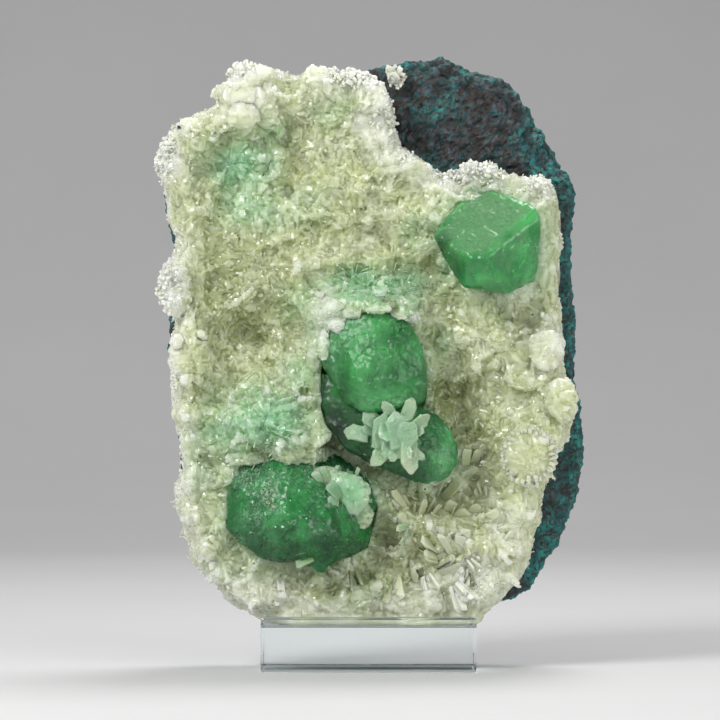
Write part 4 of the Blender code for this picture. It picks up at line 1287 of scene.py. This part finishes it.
cushions = [cushion(*sizes) for sizes in CUSHIONS]
mass = joined("stilbite_mass", [bed] + cushions)
even_cells(mass, FUSED_CELL)
mass_points = points_of(mass)
mass_normals = normals_of(mass)
middles, dome = sheaf_middles(mass_points, bed_tree)
bundles, bundle_shade = bundle_relief(mass_points, middles, BUNDLE_STEP, BUNDLE_TILT)
blocks = small_facets(mass_points, 3.6, 0.55) + small_facets(mass_points, 1.9, 0.25)
room = room_to_grow(mass_points, mass_normals)
still = free_of_seam(mass_points) * np.clip(0.25 + room, 0, 1)
calm = 1 - patch_strength(mass_points, CALM_PATCHES)
mass_points += mass_normals * (still * (dome + calm * (bundles + blocks)))[:, None]
move_points(mass, mass_points)
standing = relief(mass, mass_points, 12)
# the finish paints what stands out paler and what lies low olive: painted light and painted shade
note(mass, "tip", np.clip(0.45 + 0.6 * standing, 0, 1))
note(mass, "growth", room)
note(mass, "shade", bundle_shade)
tone_notes(mass, mass_points)
sheaf_notes(mass, mass_points, middles)
thinned(mass, FUSED_MOST)
shade_crisply(mass, FUSED_ANGLE)
give_finish(mass, STILBITE_MASS)
print("mass:", triangles_in(mass), "triangles")

# %% [markdown]
# ## Sharp tablets and grit
# Thin tablets stand on the mass where single crystals can be made out, and small blunt
# grains roughen the white rim, where the crust broke off and looks porous. They are set
# deep, so that only an edge or a roof shows. The growing tree makes both, on copies of the
# mass whose growth note is thinned out to the right places. Each pass has its own seed, so
# every run gives the same result.

# %% Sharp tablets and grit on the mass
# column, row, half width, half height, strength
CRISP_PATCHES = [
    (180, 150, 26, 50, 0.7), (180, 300, 30, 60, 0.6), (200, 210, 20, 30, 0.5), (370, 288, 60, 24, 1.0),
    (262, 425, 52, 40, 1.0), (450, 530, 70, 60, 0.9), (390, 590, 110, 24, 0.7), (200, 510, 34, 70, 0.7),
    (520, 350, 50, 50, 0.5), (310, 90, 80, 30, 0.4), (250, 300, 60, 50, 0.6), (350, 490, 40, 30, 0.9),
    (500, 175, 60, 18, 0.8), (260, 160, 40, 40, 0.5), (540, 450, 30, 60, 0.4), (230, 580, 60, 26, 0.7),
]


def restrict_growth(ground, patches, least, most):
    """Thins the growth of a ground out to a base level outside the patches."""
    values = np.empty(len(ground.data.vertices), dtype=np.float32)
    ground.data.attributes["growth"].data.foreach_get("value", values)
    strength = patch_strength(points_of(ground), patches)
    note(ground, "growth", values * np.clip(least + (most - least) * strength, 0, 1))


crisp_ground = new_piece("crisp_ground", mass.data.copy())
restrict_growth(crisp_ground, CRISP_PATCHES, 0.05, 0.55)
crust_blades = grown_piece(
    "stilbite_blades", crisp_ground, thin_tablets, STILBITE_BLADES, seed=7,
    spacing=1.6 * MM, density=330000.0, smallest=4.5 * MM, largest=9.0 * MM,
    lean_out=2.6, stray=0.35, sunk=-0.74,
)
rim_ground = new_piece("rim_ground", mass.data.copy())
restrict_growth(rim_ground, WHITE_PATCHES, -0.5, 1.1)
rim_grit = grown_piece(
    "stilbite_rim_grit", rim_ground, blunt_grains, STILBITE_GRIT, seed=19,
    spacing=1.05 * MM, density=2000000.0, smallest=1.3 * MM, largest=2.9 * MM,
    lean_out=1.0, stray=1.2, sunk=-0.55,
)

# %% [markdown]
# ## The spray and the chip
# A spray of larger, clearer tablets stands on the middle crystal, and a small white tuft
# sits on the stone at the top. Each tablet is listed from its foot to its tip, because both
# are few and easy to read off. The spray's tablets grew through each other. A boolean could
# join them, but it trips over so many thin crossings, so a fine remesh fuses them instead.

# %% The spray and the chip
SPRAY_CELL = 0.22
SPRAY_ANGLE = 24
# column and row of the foot, of the tip, width, depth of the foot, depth of the tip
SPRAY_LIST = [
    (406, 440, 407, 476, 6.2, -31.5, -33.4), (400, 442, 370, 467, 5.0, -31.0, -32.4),
    (408, 438, 435, 417, 4.6, -31.5, -33.2), (405, 430, 417, 399, 4.2, -31.5, -32.8),
    (400, 446, 386, 460, 3.4, -32.0, -33.4), (372, 434, 346, 428, 5.0, -28.0, -30.0),
    (408, 446, 426, 464, 3.0, -31.0, -32.0), (384, 448, 388, 412, 7.0, -31.5, -33.4),
    (402, 446, 396, 408, 8.0, -32.0, -34.0), (392, 448, 414, 424, 7.0, -32.4, -34.2),
    (378, 426, 360, 410, 5.0, -29.0, -31.0), (396, 430, 376, 438, 6.0, -32.0, -34.0),
    (394, 424, 382, 400, 4.0, -31.0, -33.0), (412, 432, 428, 436, 4.0, -31.0, -32.8),
]
CHIP_LIST = [
    (394, 78, 386, 66, 2.6, -2, -4), (396, 78, 402, 62, 2.4, -2, -4), (396, 80, 409, 72, 2.4, -2, -4),
    (392, 82, 388, 78, 2.6, -2, -5), (396, 84, 404, 86, 2.4, -2, -4), (394, 80, 396, 70, 3.0, -3, -6),
    (392, 74, 392, 66, 2.2, -1, -3), (398, 76, 408, 78, 2.2, -1, -4),
]


def tuft(name, listed, extra, finish, tone, seed):
    """A small group of tablets, each with a few smaller ones beside it."""
    draw = random.Random(seed)
    made = new_list()
    for column, row, tip_column, tip_row, width, depth, tip_depth in listed:
        x, z = spot(column, row, depth)
        foot = Vector((x, depth, z))
        x, z = spot(tip_column, tip_row, tip_depth)
        along = Vector((x, tip_depth, z)) - foot
        for number in range(extra + 1):
            share = 1.0 if number == 0 else draw.uniform(0.3, 0.75)
            stray = Vector([draw.uniform(-0.4, 0.4) for _ in range(3)])
            stray *= 0 if number == 0 else along.length * 0.8
            face = Vector((draw.uniform(-0.7, 0.7), -1, draw.uniform(-0.7, 0.7)))
            broad = width * (1.0 if number == 0 else draw.uniform(0.5, 0.9))
            start = foot + Vector((draw.uniform(-1, 1), draw.uniform(0.0, 1.2), draw.uniform(-1, 1)))
            plant(made, start, along + stray, face, along.length * share, broad, broad * 0.17, tone, draw)
    return planted_piece(name, made, finish, shapes=pointed_tablets)


def fused(loose, name, finish):
    """Joins tablets that cross each other into one closed shape with crisp edges."""
    piece = joined(name, [loose])
    even_cells(piece, SPRAY_CELL)
    places = points_of(piece)
    move_points(piece, places + normals_of(piece) * small_facets(places, 2.2, 0.14)[:, None])
    note(piece, "tip", np.full(len(places), 0.7))
    note(piece, "shade", np.full(len(places), 0.5))
    tone_notes(piece, places)
    shade_crisply(piece, SPRAY_ANGLE)
    give_finish(piece, finish)
    print(name, triangles_in(piece), "triangles")
    return piece


loose_spray = tuft("loose_spray", SPRAY_LIST, 2, STILBITE_CLEAR, 2, 5)
spray = fused(loose_spray, "stilbite_spray_blades", STILBITE_CLEAR)
chip = tuft("stilbite_chip_blades", CHIP_LIST, 3, STILBITE_BLADES, 1, 6)

# %% [markdown]
# ## The finish of apophyllite
# The crystals are green and see-through but cloudy: light goes in, loses its red and comes
# back from veils inside. Glass alone would show the pale crust behind and no veils. So
# plain transmission with the mineral's own refraction and a green absorption make the clear
# part, and a green body colour with scattered light the cloudy one. The pearly end is
# paler, hidden corners and parts in shadow get painted shade, a near-black green, and frost
# makes patches rough and pale.

# %% Apophyllite


def apophyllite_finish(name, deep_green_and_shade, body, milky, pale_share, rough):
    finish, tree, shader = new_finish(name)
    place = object_place(tree)
    growth = place_growth(tree, 150.0, 420.0)
    base = blend_colours(tree, spread(tree, read_note(tree, "veil"), 0.1, 0.9), deep_green_and_shade, body)
    base = blend_colours(tree, sums(tree, "MULTIPLY", growth["Cloud"], 0.35), base, milky)
    drawn = add(tree, "ShaderNodeMapping", {
        "Vector": place, "Rotation": (0.0, 0.7, 0.0), "Scale": (1.0, 1.0, 0.22),
    })
    streaks = noise_on(tree, drawn.outputs[0], 170.0, 3.0, 0.55)
    base = blend_colours(tree, spread(tree, streaks, 0.50, 0.70, 0.0, 0.6), base, milky)
    base = blend_colours(tree, spread(tree, streaks, 0.48, 0.32, 0.0, 0.6), base, deep_green_and_shade)
    cap = sums(tree, "MULTIPLY", read_note(tree, "cap"), pale_share)
    cap = sums(tree, "MULTIPLY", cap, spread(tree, read_note(tree, "edge"), 0.25, 0.9, 1.0, 0.0))
    base = blend_colours(tree, cap, base, milky)
    bright = spread(tree, noise_on(tree, place, 1100.0, 4.0, 0.7), 0.48, 0.60, 0.08, 1.0)
    frost = sums(tree, "MULTIPLY", read_note(tree, "frost"), bright)
    base = blend_colours(tree, frost, base, colour(196, 238, 204))
    motes = spread(tree, cells_on(tree, place, 90.0)["Distance"], 0.04, 0.02)
    base = blend_colours(tree, sums(tree, "MULTIPLY", motes, 0.7), base, colour(20, 50, 30))
    # painted shade: a near-black green where the crystal lies in shadow or in a hidden corner
    base = blend_colours(tree, sums(tree, "MULTIPLY", read_note(tree, "deep_green_and_shade"), 0.95), base, colour(0, 40, 14))
    tree.links.new(base, shader.inputs["Base Color"])
    gloss = spread(tree, growth["Grain"], 0.3, 0.7, rough, rough + 0.12)
    tree.links.new(sums(tree, "ADD", gloss, sums(tree, "MULTIPLY", frost, 0.3)), shader.inputs["Roughness"])
    bump_on(tree, shader, growth["Height"], 0.2, 0.0003)
    shader.inputs["IOR"].default_value = 1.535
    shader.inputs["Transmission Weight"].default_value = 0.35
    shader.inputs["Subsurface Weight"].default_value = 0.9
    shader.inputs["Subsurface Radius"].default_value = (0.35, 1.0, 0.5)
    shader.inputs["Subsurface Scale"].default_value = 0.0025
    absorb_in(tree, (0.22, 0.80, 0.38, 1.0), 55.0)
    return finish


# the deep, the body and the milky colour, how pale the end is, and the roughness
UPPER_FINISH = apophyllite_finish(
    "green apophyllite upper", colour(26, 150, 72), colour(88, 204, 112), colour(116, 168, 118), 0.8, 0.18,
)
CENTRE_FINISH = apophyllite_finish(
    "green apophyllite middle", colour(6, 108, 44), colour(50, 172, 76), colour(108, 194, 124), 0.15, 0.34,
)
LOWER_FINISH = apophyllite_finish(
    "green apophyllite lower", colour(0, 92, 40), colour(18, 146, 64), colour(84, 178, 108), 0.3, 0.22,
)
for piece, finish in ((upper_right, UPPER_FINISH), (centre, CENTRE_FINISH), (lower_left, LOWER_FINISH)):
    give_finish(piece, finish)
print("three green finishes")

# %% [markdown]
# Frost lies where stilbite dusted the crystals: thick on the lower left one's upper left
# face, thin elsewhere. The same number drives the pale patches in the finish and the
# density of tiny tablets that the growing tree sets on the face. A second set of patches
# says where a crystal lies in shadow or in a hidden corner, which is given painted shade.

# %% Frost and dusting
# column, row, half width, half height, strength
FROST_PATCHES = [
    (252, 478, 26, 18, 0.8), (274, 494, 10, 20, 1.3), (258, 512, 14, 16, 0.7), (340, 482, 32, 20, 0.8),
    (300, 472, 24, 14, 0.6), (336, 330, 16, 18, 0.6), (372, 318, 30, 8, 0.6), (440, 460, 14, 16, 0.45),
    (528, 250, 10, 8, 0.5), (470, 206, 20, 8, 0.3), (360, 500, 12, 22, 0.6), (240, 540, 10, 8, 0.3),
    (320, 530, 14, 8, 0.3), (390, 400, 30, 8, 0.5),
]
# painted shade: where a crystal lies in shadow or in a hidden corner
PAINTED_SHADE_PATCHES = [
    (334, 428, 28, 36, 1.0), (362, 456, 34, 16, 0.9), (400, 474, 40, 12, 0.7), (324, 388, 10, 22, 0.8),
    (280, 556, 50, 14, 0.5), (350, 548, 30, 12, 0.6), (232, 520, 10, 30, 0.5), (440, 250, 10, 14, 0.8),
    (452, 270, 12, 18, 0.6), (425, 380, 8, 30, 0.4), (448, 478, 16, 10, 0.5), (500, 288, 40, 8, 0.4),
]
for piece in (upper_right, centre, lower_left):
    places = points_of(piece)
    # how much painted shade each point of the crystal gets
    note(piece, "deep_green_and_shade", patch_strength(places, PAINTED_SHADE_PATCHES))
    strength = patch_strength(places, FROST_PATCHES) * (0.7 + 0.9 * noise_at(places, 3.0, 9.0))
    note(piece, "frost", np.clip(strength, 0, 1))

dust_ground = joined("dust_ground", [lower_left, centre])
places, ways = points_of(dust_ground), normals_of(dust_ground)
visible = np.clip(-ways[:, 1] * 3, 0, 1) * (places[:, 1] < -8)
note(dust_ground, "growth", np.clip(patch_strength(places, FROST_PATCHES) * 1.5 - 0.55, 0, 1) * visible)
tone_notes(dust_ground, places)
sheaf_notes(dust_ground, places, places - ways * 3.0)
dusting = grown_piece(
    "stilbite_dusting", dust_ground, thin_tablets, STILBITE_CLEAR, seed=23,
    spacing=0.8 * MM, density=1500000.0, smallest=0.9 * MM, largest=2.4 * MM,
    lean_out=1.5, stray=1.0, sunk=-0.45,
)

# %% [markdown]
# ## The basalt
# The stone behind is a granular volcanic rock, nearly black, with rust-brown grains and a
# teal skin that is strongest on its edges. A bump map would roughen it only inside its
# outline. So grains of two sizes are pushed out of a finely remeshed copy, which is rough
# from every side, three noises mix the colours, and the hollows between grains are
# darkened with painted shade.

# %% The basalt's shape
BASALT_CELL = 0.95
STONE_FOOT = 14.0


def grains(points, size, rise):
    """Rounded grains: high in the middle of each cell and low between cells."""
    found = np.array([noise.voronoi(Vector(p) / size)[0][0] for p in points])
    return rise * (0.5 - found)


stone = merged_copy("basalt_matrix", "basalt_rough")
even_cells(stone, BASALT_CELL, smooth=1)
stone_points, stone_normals = points_of(stone), normals_of(stone)
open_face = np.clip((stone_points[:, 2] - STONE_FOOT) / FOOT_FADE, 0, 1)
rough = grains(stone_points, 3.0, 1.5) + grains(stone_points, 1.6, 1.2)
rough += 0.5 * noise_at(stone_points, 6.0, 2.0)
# the crust lies on the stone's front, except at the top right, where the stone is bare
bare = (stone_normals[:, 1] > -0.5) | ((stone_points[:, 0] > 8) & (stone_points[:, 2] > 144))
stone_points += stone_normals * (rough * open_face * np.where(bare, 1.0, 0.0))[:, None]
move_points(stone, stone_points)
# how low a point lies between grains, for painted shade in the hollows
note(stone, "pit_shade", np.clip(0.5 - rough, 0, 1))
edge_share = np.clip(1.0 - np.abs(stone_normals[:, 1]) * 1.1, 0, 1)
right_side = np.clip((stone_points[:, 0] - 40) / 12, 0, 1)
note(stone, "skin", np.clip(0.36 + 0.5 * edge_share + 0.35 * right_side, 0, 1))
print("stone:", triangles_in(stone), "triangles")

# %% The basalt's finish


def basalt_finish():
    finish, tree, shader = new_finish("granular basalt with teal skin")
    place = object_place(tree)
    growth = place_growth(tree, 260.0, 900.0)
    wide = noise_on(tree, place, 85.0, 5.0, 0.7)
    brown = spread(tree, growth["Grain"], 0.4, 0.6)
    base = blend_colours(tree, brown, colour(16, 20, 24), colour(66, 54, 48))
    fine = cells_on(tree, place, 900.0)
    tint = add(tree, "ShaderNodeSeparateColor", {"Color": fine["Color"]}).outputs[0]
    base = blend_colours(tree, spread(tree, tint, 0.74, 0.88, 0.0, 0.6), base, colour(14, 90, 98))
    base = blend_colours(tree, spread(tree, tint, 0.22, 0.10, 0.0, 0.5), base, colour(84, 106, 118))
    base = blend_colours(tree, spread(tree, wide, 0.57, 0.70, 0.0, 0.6), base, colour(98, 68, 50))
    teal = blend_colours(tree, growth["Cloud"], colour(4, 98, 104), colour(34, 160, 150))
    skin = sums(tree, "ADD", read_note(tree, "skin"), spread(tree, wide, 0.3, 0.7, -0.5, 0.5))
    share = sums(tree, "MULTIPLY", spread(tree, skin, 0.35, 0.75), spread(tree, growth["Grain"], 0.44, 0.54))
    base = blend_colours(tree, share, base, teal)
    specks = spread(tree, cells_on(tree, place, 620.0)["Distance"], 0.10, 0.05)
    base = blend_colours(tree, sums(tree, "MULTIPLY", specks, 0.5), base, colour(150, 175, 185))
    # painted shade: the hollows between grains are darkened
    base = blend_colours(tree, read_note(tree, "pit_shade"), base, (0.25, 0.25, 0.25, 1.0), "MULTIPLY")
    tree.links.new(base, shader.inputs["Base Color"])
    tree.links.new(spread(tree, growth["Grain"], 0.3, 0.7, 0.3, 0.85), shader.inputs["Roughness"])
    bump_on(tree, shader, growth["Height"], 0.8, 0.0006)
    return finish


give_finish(stone, basalt_finish())
print("basalt dressed")

# %% [markdown]
# ## The clear block
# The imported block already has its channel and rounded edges, so it stays and only gets a
# finish: clear acrylic with its own refraction, a trace of absorption, and a roughness that
# rises in a few hair-fine scratches and specks of dust. A real block lets light through to
# the floor, in bright patterns that take very long to trace. So the rays that only ask
# whether a lamp is in sight go straight through it, a little dimmed. Without that the floor
# under the block, and with it the whole block, would look black from the sides.

# %% Clear acrylic


def acrylic_finish():
    finish, tree, shader = new_finish("clear acrylic")
    place = object_place(tree)
    turned = add(tree, "ShaderNodeMapping", {
        "Vector": place, "Rotation": (0.0, 0.5, 0.0), "Scale": (60, 60, 2500),
    })
    lines = spread(tree, noise_on(tree, turned.outputs[0], 1.0, 2.0), 0.70, 0.76, 0.0, 0.25)
    motes = spread(tree, cells_on(tree, place, 500.0)["Distance"], 0.07, 0.03, 0.0, 0.4)
    tree.links.new(sums(tree, "ADD", sums(tree, "ADD", lines, motes), 0.02), shader.inputs["Roughness"])
    shader.inputs["Base Color"].default_value = (0.97, 0.985, 0.985, 1.0)
    shader.inputs["IOR"].default_value = 1.49
    shader.inputs["Transmission Weight"].default_value = 1.0
    absorb_in(tree, (0.75, 0.88, 0.88, 1.0), 6.0)
    path = tree.nodes.new("ShaderNodeLightPath")
    clear_shadow = add(tree, "ShaderNodeBsdfTransparent", {"Color": (0.86, 0.90, 0.90, 1.0)})
    either = tree.nodes.new("ShaderNodeMixShader")
    tree.links.new(path.outputs["Is Shadow Ray"], either.inputs[0])
    tree.links.new(shader.outputs[0], either.inputs[1])
    tree.links.new(clear_shadow.outputs[0], either.inputs[2])
    tree.links.new(either.outputs[0], tree.nodes["Material Output"].inputs["Surface"])
    return finish


give_finish(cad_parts["acrylic_stand"], acrylic_finish())
print("block dressed")

# %% [markdown]
# ## Floor and light
# A plain pale sheet that curves up behind and soft lights show the specimen. A flat floor
# with a wall would show a hard line between them, so the sheet bends in a quarter circle.
# The main light comes from the upper left, a weaker one from the right, and one from above.

# %% Floor and light
SWEEP = 0.9
FLOOR_END = 0.8


def soft_light(name, place, aim, width, power):
    lamp = bpy.data.lights.new(name, "AREA")
    lamp.shape = "DISK"
    lamp.size = width
    lamp.energy = power
    light = bpy.data.objects.new(name, lamp)
    light.location = place
    light.rotation_euler = (Vector(aim) - Vector(place)).to_track_quat("-Z", "Y").to_euler()
    bpy.context.scene.collection.objects.link(light)


rows = [(-3.0, 0.0), (FLOOR_END, 0.0)]
for turn in np.radians(np.arange(5, 91, 5)):
    rows.append((FLOOR_END + SWEEP * math.sin(turn), SWEEP * (1 - math.cos(turn))))
rows.append((FLOOR_END + SWEEP, 4.0))
corners = [(side, y, z) for y, z in rows for side in (-4.0, 4.0)]
faces = [(2 * i, 2 * i + 1, 2 * i + 3, 2 * i + 2) for i in range(len(rows) - 1)]
sheet = bpy.data.meshes.new("backdrop")
sheet.from_pydata(corners, [], faces)
for polygon in sheet.polygons:
    polygon.use_smooth = True
backdrop = new_piece("backdrop", sheet)
paper, paper_tree, paper_shader = new_finish("pale paper")
paper_growth = place_growth(paper_tree, 3.0, 400.0)
paper_tone = blend_colours(paper_tree, paper_growth["Cloud"], colour(208, 208, 208), colour(213, 213, 213))
paper_tree.links.new(paper_tone, paper_shader.inputs["Base Color"])
paper_shader.inputs["Roughness"].default_value = 0.9
sheet.materials.append(paper)

AIM = (0.0, 0.0, 0.09)
soft_light("key", (-0.55, -0.70, 0.70), AIM, 0.45, 8.6)
soft_light("fill", (0.75, -0.80, 0.30), AIM, 0.6, 4.0)
soft_light("top", (0.15, 0.30, 0.90), AIM, 0.4, 4.0)
world = bpy.data.worlds.new("studio")
world.use_nodes = True
world.node_tree.nodes["Background"].inputs["Color"].default_value = (0.80, 0.80, 0.80, 1.0)
world.node_tree.nodes["Background"].inputs["Strength"].default_value = 0.46
bpy.context.scene.world = world
bpy.context.scene.view_settings.view_transform = "Standard"
print("stage set")

# %% [markdown]
# ## Fitting the pieces to the frame
# Every piece rides on the one body and names the imported node that it stands for, which
# is hidden. The shapes that were only copied are removed.

# %% Riding and replacing
helpers = thin_shapes + grain_shapes + pointed_shapes + unit_shapes + list(forms.values())
helpers += [bed, loose_spray, *cushions, crisp_ground, rim_ground, dust_ground]
for helper in helpers:
    bpy.data.objects.remove(helper)
PIECES = [
    (mass, "stilbite", ["stilbite_crust"]), (crust_blades, "stilbite", []), (rim_grit, "stilbite", []),
    (crust_sheaves, "stilbite", []), (crust_overgrowth, "stilbite", []), (dusting, "stilbite", []),
    (spray, "stilbite", ["stilbite_spray"]), (chip, "stilbite", ["stilbite_chip"]),
    (upper_right, "apophyllite", ["apophyllite_upper_right"]),
    (centre, "apophyllite", ["apophyllite_centre"]),
    (lower_left, "apophyllite", ["apophyllite_lower_left"]), (stone, "basalt", ["basalt_matrix"]),
]
for piece, slot, nodes in PIECES:
    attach(piece, "root")
    if nodes:
        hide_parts(*nodes)
print("in all", sum(triangles_in(piece) for piece, _, _ in PIECES), "triangles")
